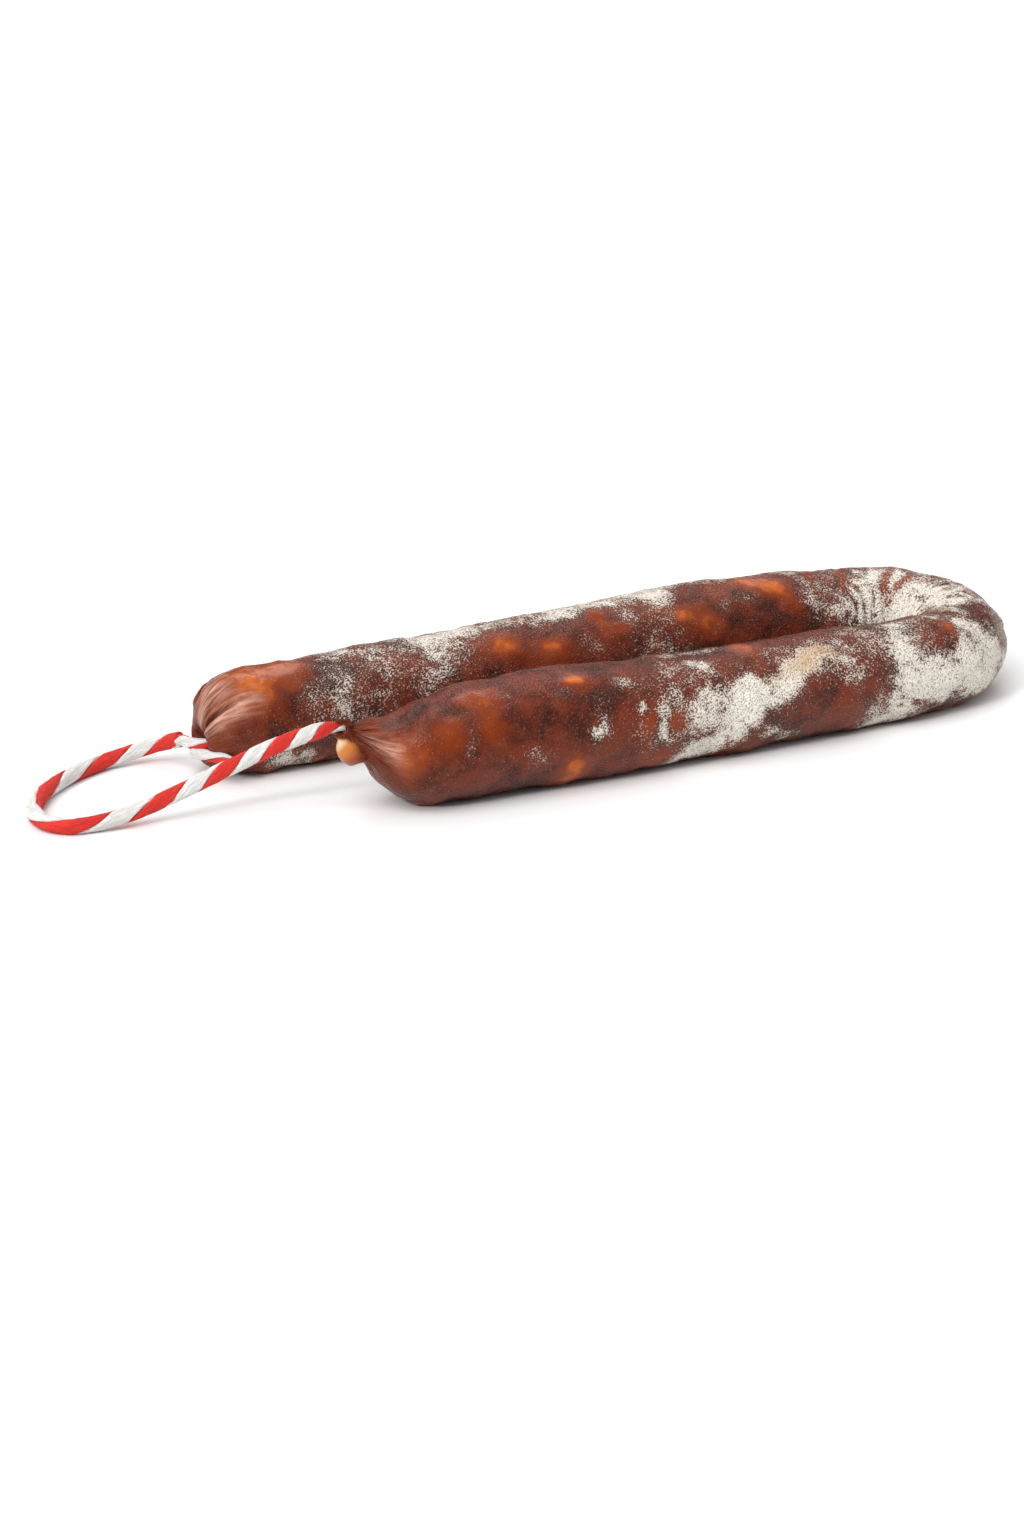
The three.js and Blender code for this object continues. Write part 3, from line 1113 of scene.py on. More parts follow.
@dataclass
class Sausage:
    """The sausage in its natural casing: one skin from the near tie to the far tie.

    Lengths along it are counted in millimetres from the near tie, and angles round it in degrees
    from its top towards the outside of the horseshoe.
    """

    axis: Axis = field(default_factory=Axis)
    # Radius of the filled casing at stations along the axis, and how far it sags where it lies.
    stations: tuple[float, ...] = (0, 56, 136, 211, 271, 331, 406, 505)
    radii: tuple[float, ...] = (16.0, 17.1, 16.1, 15.2, 16.2, 17.7, 16.2, 15.5)
    settle: float = 0.7
    # The near tip narrows and rises to its tie. The cup closes it: how far inside the tie each
    # ring of the cup stands, and its radius.
    near_taper: float = 27.0
    near_power: float = 1.8
    near_rise: float = 10.5
    near_rise_length: float = 17.0
    mouth: float = 2.5
    mouth_length: float = 9.0
    cup: tuple[Pair, ...] = ((3.2, 0.9), (2.2, 1.5), (1.0, 1.9), (0.1, 2.25))
    # The far tip is rounder, and drops and sinks in to its neck. The stub closes it: how far past
    # the tie each ring stands, and its radius against the neck's.
    far_taper: float = 17.0
    far_roundness: float = 0.92
    far_rings: int = 64
    far_drop: float = 5.0
    far_drop_share: float = 0.9
    far_recess: float = 3.2
    far_recess_radius: float = 7.0
    neck: float = 1.6
    stub: tuple[Pair, ...] = ((0.8, 0.92), (1.6, 0.92), (2.4, 0.98), (3.2, 0.7))
    # The mesh: corners round a ring, and the spacing of rings in the near tip and elsewhere.
    sides: int = 160
    tip_spacing: float = 0.45
    spacing: float = 0.95
    # The knob of filling under the near tie, placed from the tie. It swells away from its heart,
    # through the skin up to knob_end, and is fully a knob where it stands knob_full out.
    knob_radius: float = 4.8
    knob_offset: Place = (2.9, -0.4, -6.9)
    knob_heart: Place = (13.0, -0.6, -9.0)
    knob_end: float = 13.0
    knob_full: float = 5.0
    # Direction that the knob's painted light comes from; its far side gets painted shade.
    knob_painted_light_from: Place = (-0.66, 0.32, 0.62)
    # The ragged lip of casing round the near tie.
    lip_seed: int = 51
    lip_end: float = 4.0
    lip_length: float = 1.6
    lip_out: float = 0.9
    lip_rough: float = 1.3
    lip_turns: float = 3.1
    # Lumps of the filling, and the fat and dents among them.
    lump_start: float = 9.0
    large_lumps: Layer = Layer(1, 19.0, 2, height=0.55)
    small_lumps: Layer = Layer(2, 7.0, 2, height=0.42)
    ripples: Layer = Layer(3, 2.6, 2, height=0.15)
    dent_level: float = 0.25
    dent_gain: float = 1.6
    fat_height: float = 0.55
    fat_spread: float = 1.22
    fat_spots: Layer = Layer(14, 7.5, 2, fade=0.4)
    fat_spot_band: Band = (0.46, 0.74)
    fat_spot_strength: float = 0.85
    # Folds and lobes of the gathered tips. Each lobe is a middle and a width in degrees.
    tip_band: Band = (4.0, 24.0)
    near_fold_gain: float = 1.25
    # Painted shade in the creases: the pressed depth over which it comes in, its share on the far
    # tip, and its strength.
    crease_shade_band: Band = (0.35, 1.5)
    far_crease_shade: float = 0.6
    crease_shade_strength: float = 0.60
    far_lobes: tuple[Pair, ...] = ((12.0, 30.0), (-68.0, 26.0))
    far_lobe_band: Band = (2.0, 7.0)
    far_lobe_height: float = 0.9
    # Ridges where the casing is crumpled by the bend, strongest towards bend_inner.
    bend_start: Band = (198.0, 222.0)
    bend_end: Band = (270.0, 300.0)
    bend_inner: float = -80.0
    bend_outer_share: float = 0.22
    ridge_seed: int = 32
    ridge_octaves: int = 2
    ridge_fade: float = 0.6
    ridge_length: float = 2.3
    ridge_turns: float = 1.2
    ridge_sharpness: float = 2.2
    ridge_height: float = 0.36
    sway_seed: int = 31
    sway: float = 1.5
    sway_length: float = 14.0
    sway_turns: float = 2.0
    # How the listed patches are drawn out of shape, and the radius they are measured at.
    patch_radius: float = 16.3
    drift_along: tuple[Layer, ...] = (Layer(21, 9.0, 2, height=2.4), Layer(23, 3.2, 2, height=0.9))
    drift_around: tuple[Layer, ...] = (Layer(22, 9.0, 2, height=2.4), Layer(24, 3.2, 2, height=0.9))
    # The bloom: its strength along the sausage, how it breaks up, and where it stays away.
    bloom_stations: tuple[float, ...] = (0, 80, 115, 262, 288, 330)
    bloom_gains: tuple[float, ...] = (1.8, 1.5, 1.12, 1.25, 0.82, 0.82)
    breakup: Layer = Layer(11, 9.0, 3, 0.6, 0.55)
    clumps: Layer = Layer(12, 3.0, 2, 0.6)
    clump_strength: float = 0.42
    crumbs: Layer = Layer(15, 1.3, 2, 0.6, 0.22)
    loose_patches: Layer = Layer(13, 26.0, 3, 0.55)
    loose_band: Band = (-0.05, 0.55)
    loose_strength: float = 0.85
    loose_clumps: float = 0.5
    ridge_bloom: float = 0.42
    bend_loss: float = 0.10
    near_tip_loss: float = 1.15
    far_tip_loss: float = 0.95
    fat_loss: float = 0.8
    dusting: float = 0.12
    bloom_power: float = 1.6
    most_bloom: float = 0.90
    # The angle that each leg's listed marks are centred on, how far round from it they
    # reach (as cosines), and where along the sausage the one leg's angle gives way to the other's.
    near_marked: float = 62.0
    near_marked_band: Band = (-0.15, 0.25)
    far_marked: float = -45.0
    far_marked_band: Band = (0.15, 0.6)
    marked_change: Band = (205.0, 240.0)
    # Loose grit outside the tips, and the streaks of the drawn casing.
    grit_tip_loss: float = 0.9
    grit_fat_loss: float = 0.75
    streaks_round: float = 13.0
    streaks_along: float = 0.13

    along: np.ndarray = field(init=False, repr=False)
    around: np.ndarray = field(init=False, repr=False)
    angle: np.ndarray = field(init=False, repr=False)
    radius: np.ndarray = field(init=False, repr=False)
    reach: np.ndarray = field(init=False, repr=False)
    points: np.ndarray = field(init=False, repr=False)
    near_end: np.ndarray = field(init=False, repr=False)
    shift_along: np.ndarray = field(init=False, repr=False)
    shift_around: np.ndarray = field(init=False, repr=False)
    fat: np.ndarray = field(init=False, repr=False)
    knob: np.ndarray = field(init=False, repr=False)
    # How far each corner lies on the knob's painted-light side.
    pale: np.ndarray = field(init=False, repr=False)
    dent: np.ndarray = field(init=False, repr=False)
    # Painted shade in the creases of the tips.
    crease_shade: np.ndarray = field(init=False, repr=False)

    def girth(self, along: np.ndarray) -> np.ndarray:
        """Radius of the filled casing before its tips narrow.

        Args:
            along: distances along the axis.

        Returns:
            The radius at each distance.
        """
        stations, radii = self.stations, self.radii
        found = np.clip(np.searchsorted(stations, along) - 1, 0, len(stations) - 2)
        start, end = np.take(stations, found), np.take(stations, found + 1)
        low, high = np.take(radii, found), np.take(radii, found + 1)
        return low + (high - low) * eased(np.clip((along - start) / (end - start), 0.0, 1.0))

    def rings(self) -> tuple[np.ndarray, np.ndarray, np.ndarray, np.ndarray]:
        """Where each ring of the skin stands before any shaping.

        Returns:
            For each ring: its distance along the axis, its radius, how far its middle is raised,
            and its distance over the skin from the nearer tie.
        """
        length = self.axis.length
        end_girth = self.girth(np.array([length]))[0]
        cup, cup_radius = np.array(self.cup).T
        near = np.arange(0.0, self.near_taper, self.tip_spacing)
        near_radius = self.girth(near) * (1 - (1 - near / self.near_taper) ** self.near_power)
        opening = self.mouth * (1 - ramp(near, 0.0, self.mouth_length))
        near_radius = np.hypot(near_radius, opening)
        body = np.arange(self.near_taper, length - self.far_taper, self.spacing)
        turn = np.linspace(0.0, math.pi / 2, self.far_rings)
        far_radius = np.maximum(end_girth * np.cos(turn) ** self.far_roundness, self.neck)
        far = length - self.far_taper * (1 - np.sin(turn))
        far = far - self.far_recess * (1 - ramp(far_radius, self.neck, self.far_recess_radius))
        past, stub_share = np.array(self.stub).T
        along = np.concatenate([cup, near, body, far, far[-1] + past])
        radius = [cup_radius, near_radius, self.girth(body), far_radius, self.neck * stub_share]
        radius = np.concatenate(radius)

        into_near = 1 - np.clip(along / self.near_rise_length, 0.0, 1.0)
        into_near[: len(cup)] = 1.0
        raised = self.near_rise * into_near**self.near_power
        closing = np.clip(1 - radius / end_girth, 0.0, 1.0) * (along > length / 2)
        raised -= self.far_drop * ramp(closing, 0.0, self.far_drop_share)

        step = np.hypot(np.diff(along), np.diff(radius))
        walked = np.concatenate([[0.0], np.cumsum(step)])
        start, end = walked[len(cup)], walked[-len(past) - 1]
        reach = np.maximum(np.minimum(walked - start, end - walked), 0.0)
        return along, radius, raised, reach

    def lay_out(self) -> None:
        """Works out each corner's place on the plain skin, in rings by sides."""
        along, radius, raised, reach = self.rings()
        self.angle = np.linspace(-math.pi, math.pi, self.sides, endpoint=False)
        shape = (len(along), self.sides)
        self.along = np.broadcast_to(along[:, None], shape)
        self.radius = np.broadcast_to(radius[:, None], shape)
        self.reach = np.broadcast_to(reach[:, None], shape)
        self.around = np.broadcast_to(np.degrees(self.angle)[None, :], shape)
        plan, heading = self.axis.walk(along)
        right = np.stack([np.sin(heading), -np.cos(heading)], axis=-1)
        self.points = np.empty((*shape, 3))
        sideways = radius[:, None] * np.sin(self.angle)
        self.points[..., :2] = plan[:, None, :] + right[:, None, :] * sideways[..., None]
        middle = self.girth(np.clip(along, 0.0, self.axis.length)) - self.settle + raised
        self.points[..., 2] = middle[:, None] + radius[:, None] * np.cos(self.angle)
        centre = fit_to_frame(self.points)
        self.points[..., :2] += centre
        self.near_end = np.append(centre, middle[len(self.cup)])

    def normals(self) -> np.ndarray:
        """Outward directions of the skin.

        Returns:
            A direction of length one at each corner.
        """
        lengthways = np.gradient(self.points, axis=0)
        before = np.roll(self.points, 1, axis=1)
        after = np.roll(self.points, -1, axis=1)
        return unit(np.cross(after - before, lengthways))

    def near_half(self) -> np.ndarray:
        """Which corners belong to the near half of the sausage."""
        return self.along < self.axis.length / 2

    def tip_masks(self) -> tuple[np.ndarray, np.ndarray]:
        """How much each corner belongs to a tip.

        Returns:
            The near tip's share and the far tip's share, from 0 to 1.
        """
        close = 1.0 - ramp(self.reach, *self.tip_band)
        near_half = self.near_half()
        return close * near_half, close * ~near_half

    def bend_mask(self) -> np.ndarray:
        """How much the casing is crumpled by the bend.

        Returns:
            From 0 on the legs to 1 on the inner side of the bend.
        """
        stretch = ramp(self.along, *self.bend_start) * (1 - ramp(self.along, *self.bend_end))
        inner = 0.5 + 0.5 * np.cos(np.radians(self.around - self.bend_inner))
        return stretch * (self.bend_outer_share + (1.0 - self.bend_outer_share) * inner)

    def crumple(self) -> np.ndarray:
        """Ridges across the sausage at the bend.

        Returns:
            From -1 in the furrows to 1 on the ridges.
        """
        sine, cosine = np.sin(np.radians(self.around)), np.cos(np.radians(self.around))
        place = [self.along / self.sway_length, sine * self.sway_turns, cosine * self.sway_turns]
        sway = self.sway * Noise(self.sway_seed).at(np.stack(place, axis=-1))
        place = [self.along / self.ridge_length + sway, sine * self.ridge_turns]
        place.append(cosine * self.ridge_turns)
        place = np.stack(place, axis=-1)
        ridges = Noise(self.ridge_seed).layered(place, self.ridge_octaves, self.ridge_fade)
        return np.clip(1.0 - self.ridge_sharpness * np.abs(ridges), -1.0, 1.0)

    def add_knob(self) -> np.ndarray:
        """Swells the skin under the near tie into a knob, lays painted light and shade across the
        knob, and draws out the lip round the tie.

        Returns:
            How much each corner belongs to the knob, from 0 to 1.
        """
        heart = self.near_end + np.array(self.knob_heart)
        knob = self.near_end + np.array(self.knob_offset)
        close = self.along < self.knob_end
        close[: len(self.cup)] = False
        out = self.points - heart
        distance = np.linalg.norm(out, axis=-1)
        ray = out / distance[..., None]
        toward = ray @ (knob - heart)
        gap = ((knob - heart) ** 2).sum() - self.knob_radius**2
        inside = toward**2 - gap
        surface = toward + np.sqrt(np.maximum(inside, 0))
        grown = np.maximum(distance, np.where((inside > 0) & (toward > 0), surface, 0))
        moved = heart + ray * grown[..., None]
        # Painted light and shade on the knob: pale on the side towards the painted light, dark on
        # the far side.
        lit = (moved - knob) @ np.array(self.knob_painted_light_from)
        self.pale = np.clip(0.5 + 0.5 * lit / self.knob_radius, 0.0, 1.0)
        self.points = np.where(close[..., None], moved, self.points)
        spin = np.stack([np.sin(self.angle), np.cos(self.angle), 0 * self.angle], axis=-1)
        ragged = self.lip_out + self.lip_rough * Noise(self.lip_seed).at(self.lip_turns * spin)
        lip = bump(self.along, self.lip_length) * (self.along < self.lip_end)
        self.points[..., 0] -= lip * ragged
        return close * np.clip((grown - distance) / self.knob_full, 0.0, 1.0)

    def paint(self, patches: tuple[Patch, ...], spread: float = 1.0) -> np.ndarray:
        """Listed marks, with their edges drawn out of shape.

        Args:
            patches: the marks.
            spread: how much larger than their own sizes they are taken.

        Returns:
            Their strength at each corner.
        """
        per_degree = math.radians(self.patch_radius)
        along = self.along + self.shift_along
        around = self.around + self.shift_around / per_degree
        return sum(patch.cover(along, around, per_degree, spread) for patch in patches)

    def press_folds(self) -> np.ndarray:
        """How far the folds of both tips press the skin in.

        Returns:
            Depth in millimetres at each corner.
        """
        near_half = self.near_half()
        off_knob = self.near_fold_gain * near_half * (1 - ramp(self.knob, 0.0, 0.5))
        pressed = np.zeros(self.along.shape)
        for folds, share in ((NEAR_FOLDS, off_knob), (FAR_FOLDS, ~near_half)):
            for fold in folds:
                pressed += share * fold.press(self.reach, self.around, self.radius)
        return pressed

    def shape(self) -> None:
        """Moves the plain skin's corners to its lumps, folds, wrinkles and knob."""
        self.shift_along = sum(layer.over(self.points) for layer in self.drift_along)
        self.shift_around = sum(layer.over(self.points) for layer in self.drift_around)
        spots = ramp(self.fat_spots.over(self.points), *self.fat_spot_band)
        spots = self.fat_spot_strength * self.hidden() * spots
        self.fat = np.clip(self.paint(FAT, self.fat_spread) + spots, 0.0, 1.0)
        self.knob = self.add_knob()
        normal = self.normals()

        lumps = self.large_lumps.over(self.points) + self.small_lumps.over(self.points)
        self.dent = np.clip(self.dent_level - lumps * self.dent_gain - self.fat, 0.0, 1.0)
        lumps += self.fat_height * self.fat + self.ripples.over(self.points)
        push = lumps * ramp(self.reach, 0.0, self.lump_start)
        push += self.ridge_height * self.bend_mask() * self.crumple()

        pressed = self.press_folds()
        # Painted shade: the deeper the folds press, the darker the casing is painted in their
        # creases.
        self.crease_shade = ramp(pressed, *self.crease_shade_band)
        self.crease_shade *= np.where(self.near_half(), 1.0, self.far_crease_shade)
        push -= pressed
        lobes = sum(bump(wrapped(self.around - middle), width) for middle, width in self.far_lobes)
        _, far = self.tip_masks()
        push += self.far_lobe_height * far * lobes * ramp(self.reach, *self.far_lobe_band)
        push += self.paint(SWELLS)
        self.points = self.points + normal * push[..., None]
        self.settle_on_floor()

    def settle_on_floor(self) -> None:
        """Flattens whatever would sink through the surface that the sausage lies on."""
        self.points[..., 2] = np.maximum(self.points[..., 2], 0.0)

    def bloom(self, bare: np.ndarray) -> np.ndarray:
        """How much bloom lies on the skin.

        Args:
            bare: 1 where bloom may lie and 0 where none does.

        Returns:
            The amount at each corner, from 0 to most_bloom.
        """
        clumps = self.clumps.over(self.points)
        uneven = 1.0 + self.breakup.over(self.points) + self.clump_strength * clumps
        uneven += self.crumbs.over(self.points)
        gain = np.interp(self.along, self.bloom_stations, self.bloom_gains)
        bloom = self.paint(BLOOM) * uneven * gain
        loose = ramp(self.loose_patches.over(self.points), *self.loose_band)
        bloom += self.hidden() * loose * (self.loose_strength + self.loose_clumps * clumps)
        bloom *= 1.0 + self.bend_mask() * (self.ridge_bloom * self.crumple() - self.bend_loss)
        thick = np.clip(self.dusting + bloom, 0.0, None) ** self.bloom_power
        return self.most_bloom * (1.0 - np.exp(-thick)) * bare

    def marks(self) -> dict[str, np.ndarray]:
        """What the material needs to know at each corner.

        Returns:
            Attribute names and their values.
        """
        near, far = self.tip_masks()
        tips = np.clip(near + far, 0.0, 1.0)
        off_knob = 1 - self.knob
        bare = np.clip(1.0 - self.near_tip_loss * near - self.far_tip_loss * far, 0.0, 1.0)
        angle = np.radians(self.around)
        drawn = [self.streaks_round * np.sin(angle), self.streaks_round * np.cos(angle)]
        drawn.append(self.streaks_along * self.reach)
        grit = (1.0 - self.grit_tip_loss * tips) * (1.0 - self.grit_fat_loss * self.fat)
        return {
            "bloom": self.bloom(bare * (1.0 - self.fat_loss * self.fat)),
            "fat": self.fat * off_knob,
            "dent": self.dent,
            # painted shade in the creases
            "crease_shade": self.crease_shade_strength * self.crease_shade,
            "grit": grit * off_knob,
            "amber": self.knob,
            # painted light and shade across the knob
            "pale": self.pale,
            # painted sheen on the tips
            "sheen": np.clip(self.paint(PAINTED_SHEEN), 0.0, 1.0) * off_knob,
            "ochre": np.clip(self.paint(OCHRE), 0.0, 1.0),
            "tip": tips * off_knob,
            "drawn": np.stack(drawn, axis=-1),
        }

    def hidden(self) -> np.ndarray:
        """The sides that the listed marks leave plain.

        Returns:
            From 0 on the marked sides to 1 on the plain ones.
        """
        near_leg = 1 - ramp(self.along, *self.marked_change)
        toward_near = np.cos(np.radians(self.around - self.near_marked))
        toward_far = np.cos(np.radians(self.around - self.far_marked))
        near_hidden = 1 - ramp(toward_near, *self.near_marked_band)
        far_hidden = 1 - ramp(toward_far, *self.far_marked_band)
        return near_leg * near_hidden + (1 - near_leg) * far_hidden

    def build(self, material: bpy.types.Material) -> bpy.types.Object:
        """The dressed sausage.

        Args:
            material: the casing's material.

        Returns:
            The object, riding on the frame in place of its plain solid.
        """
        self.lay_out()
        self.shape()
        rings = self.points.shape[0]
        flat = self.points.reshape(-1, 3)
        ends = np.stack([self.points[0].mean(axis=0), self.points[-1].mean(axis=0)])
        faces = Mesh.tube_faces(rings, self.sides).tolist()
        first, last = len(flat), len(flat) + 1
        top = (rings - 1) * self.sides
        for side in range(self.sides):
            after = (side + 1) % self.sides
            faces.append([after, side, first])
            faces.append([top + side, top + after, last])
        obj = Mesh.build("cured_sausage", np.concatenate([flat, ends]), faces)
        for name, values in self.marks().items():
            rows = values.reshape(len(flat), -1)
            rows = np.concatenate([rows, rows[:1], rows[-1:]])
            Mesh.mark(obj, name, rows[:, 0] if rows.shape[1] == 1 else rows)
        obj.data.materials.append(material)
        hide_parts("sausage")
        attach(obj, "root")
        LOG.info("%s: %d faces", obj.name, len(obj.data.polygons))
        return obj


def fit_to_frame(points: np.ndarray) -> np.ndarray:
    """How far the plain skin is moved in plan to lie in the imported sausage's box.

    Args:
        points: the plain skin, with its near tie at the start of its axis.

    Returns:
        The move in x and y, in millimetres.
    """
    low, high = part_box("sausage")
    right = high[0] / MM - points[..., 0].max()
    middle = (low[1] + high[1]) / 2 / MM
    return np.array([right, middle - (points[..., 1].min() + points[..., 1].max()) / 2])


# ---------------------------------------------------------------- the cord


@dataclass
class TwistedCord:
    """Two yarn plies laid round each other along a route.

    Args:
        name: the object's name.
        route: points that the cord's middle runs through.
        diameter: over both plies.
        turns_at: distances along the cord where the red ply faces front, one turn apart.
        facing: the side that counts as front.
        start_taper: how thin the cord is drawn at its start, against 1, and over what length.
        end_taper: likewise at its end.
    """

    name: str
    route: tuple[Place, ...]
    diameter: float
    turns_at: tuple[float, ...]
    facing: Place = (-0.437, -0.832, 0.342)
    start_taper: Pair = (1.0, 1.0)
    end_taper: Pair = (1.0, 1.0)
    step: float = 0.4
    sides: int = 28
    # A ply's middle stands this far from the cord's, against the diameter. Its corners are eased
    # by the power, it turns on itself as it goes round, and its yarns make ridges on it.
    offset: float = 0.21
    corner_power: float = 5.0
    spin: float = 0.8
    yarns: int = 7
    plain: float = 0.94
    ridge: float = 0.07
    rough: float = 0.06
    rough_seed: int = 41
    rough_turns: float = 2.0
    rough_length: float = 4.0
    # Coordinates for the streaks along the yarns.
    streaks_round: float = 5.5
    streaks_along: float = 0.35
    streaks_apart: float = 9.0

    line: list[Place] = field(init=False, repr=False)
    length: float = field(init=False)

    def centreline(self) -> np.ndarray:
        """A smooth curve through the route.

        Returns:
            Evenly spaced points, about a step apart.
        """
        knots = np.array(self.route)
        times = np.concatenate([[0.0], np.cumsum(np.linalg.norm(np.diff(knots, axis=0), axis=1))])
        slopes = np.gradient(knots, times, axis=0)
        fine = np.linspace(0.0, times[-1], 40 * len(knots))
        span = np.clip(np.searchsorted(times, fine, side="right") - 1, 0, len(knots) - 2)
        width = (times[span + 1] - times[span])[:, None]
        t = (fine - times[span])[:, None] / width
        curve = (
            (2 * t**3 - 3 * t**2 + 1) * knots[span]
            + (t**3 - 2 * t**2 + t) * width * slopes[span]
            + (3 * t**2 - 2 * t**3) * knots[span + 1]
            + (t**3 - t**2) * width * slopes[span + 1]
        )
        arc = np.concatenate([[0.0], np.cumsum(np.linalg.norm(np.diff(curve, axis=0), axis=1))])
        even = np.linspace(0.0, arc[-1], int(arc[-1] / self.step) + 1)
        return np.stack([np.interp(even, arc, curve[:, i]) for i in range(3)], axis=-1)

    def turns(self, arc: np.ndarray) -> np.ndarray:
        """How many turns the plies have made.

        Args:
            arc: distances along the cord.

        Returns:
            Turns at each distance, 0 at the first mark and below it before.
        """
        marks = np.array(self.turns_at)
        turns = np.interp(arc, marks, np.arange(len(marks), dtype=float))
        turns += np.minimum(arc - marks[0], 0.0) / (marks[1] - marks[0])
        return turns + np.maximum(arc - marks[-1], 0.0) / (marks[-1] - marks[-2])

    def frames(self, line: np.ndarray) -> tuple[np.ndarray, np.ndarray]:
        """Directions across the cord.

        Args:
            line: points of its middle.

        Returns:
            To the front of the cord, and across it, at each point.
        """
        ahead = unit(np.gradient(line, axis=0))
        facing = np.array(self.facing)
        front = unit(facing - (ahead @ facing)[:, None] * ahead)
        return front, np.cross(ahead, front)

    def build(self, plies: dict[PlyColour, bpy.types.Material]) -> bpy.types.Object:
        """The cord as one mesh of two plies.

        Args:
            plies: a material for each ply.

        Returns:
            The object. Its line in metres is kept in self.line, its length in self.length.
        """
        line = self.centreline()
        gaps = np.linalg.norm(np.diff(line, axis=0), axis=1)
        arc = np.arange(len(line)) * gaps.mean()
        self.length = arc[-1]
        points, faces, yarn = [], [], []
        for number in range(len(plies)):
            first = number * len(line) * self.sides
            last = first + (len(line) - 1) * self.sides
            skin, lie = self.ply(line, arc, number, len(plies))
            points.append(skin)
            yarn.append(lie)
            faces += Mesh.tube_faces(len(line), self.sides, first).tolist()
            faces.append(list(range(first + self.sides - 1, first - 1, -1)))
            faces.append(list(range(last, last + self.sides)))
        every = np.concatenate(points)
        every[:, 2] = np.maximum(every[:, 2], 0.0)
        obj = Mesh.build(self.name, every, faces)
        Mesh.mark(obj, "yarn", np.concatenate(yarn))
        for material in plies.values():
            obj.data.materials.append(material)
        share = len(obj.data.polygons) // len(plies)
        slots = np.repeat(np.arange(len(plies)), share)
        obj.data.polygons.foreach_set("material_index", slots.astype(np.int32))
        self.line = [tuple(point) for point in (line[::4] * MM).tolist()]
        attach(obj, "root")
        LOG.info("%s: %.1f mm long, %d faces", obj.name, self.length, len(obj.data.polygons))
        return obj

    def ply(
        self, line: np.ndarray, arc: np.ndarray, number: int, plies: int
    ) -> tuple[np.ndarray, np.ndarray]:
        """The skin of one ply, as it winds round the cord's middle.

        Args:
            line: points of the cord's middle.
            arc: their distances along the cord.
            number: which ply, from 0.
            plies: how many plies there are.

        Returns:
            Its corners in millimetres, and their coordinates for the streaks along the yarns.
        """
        front, across = self.frames(line)
        thin = self.thinning(arc)
        angle = np.linspace(0.0, 2 * math.pi, self.sides, endpoint=False)
        lay = -2 * math.pi * (self.turns(arc) + number / plies)
        sine, cosine = np.sin(lay)[:, None], np.cos(lay)[:, None]
        out, side = cosine * front + sine * across, cosine * across - sine * front
        middle = line + out * (self.diameter * self.offset * thin)[:, None]
        spun = angle[None, :] + self.spin * lay[:, None]
        travel = 0 * spun + arc[:, None]
        place = [np.cos(spun) * self.rough_turns, np.sin(spun) * self.rough_turns]
        place = np.stack([*place, travel / self.rough_length], axis=-1)
        fuzz = Noise(self.rough_seed + number).at(place)
        yarns = np.abs(np.cos(spun * self.yarns / 2))
        uneven = self.plain + self.ridge * yarns + self.rough * fuzz
        radius = thin[:, None] * self.half_round(angle) * uneven
        ring = middle[:, None, :] + (radius * np.cos(angle))[..., None] * out[:, None, :]
        ring += (radius * np.sin(angle))[..., None] * side[:, None, :]
        lie = [np.cos(spun) * self.streaks_round, np.sin(spun) * self.streaks_round]
        lie = np.stack([*lie, travel * self.streaks_along], axis=-1)
        return ring.reshape(-1, 3), lie.reshape(-1, 3) + self.streaks_apart * number

    def half_round(self, angle: np.ndarray) -> np.ndarray:
        """Section of one ply: half of the cord's round, with its corners eased.

        Args:
            angle: directions from the middle of the ply, 0 away from the cord's middle.

        Returns:
            How far the ply reaches in each direction, in millimetres.
        """
        radius, offset = self.diameter / 2, self.diameter * self.offset
        side = offset * np.cos(angle)
        to_round = -side + np.sqrt(side**2 + radius**2 - offset**2)
        to_flat = offset / np.maximum(-np.cos(angle), 1e-3)
        power = self.corner_power
        return (to_round**-power + to_flat**-power) ** (-1.0 / power)

    def thinning(self, arc: np.ndarray) -> np.ndarray:
        """How thick the cord is along its length.

        Args:
            arc: distances along the cord.

        Returns:
            Thickness against 1 at each distance.
        """
        (start, start_length), (end, end_length) = self.start_taper, self.end_taper
        thin = start + (1 - start) * ramp(arc, 0.0, start_length)
        return thin * (end + (1 - end) * ramp(arc[-1] - arc, 0.0, end_length))


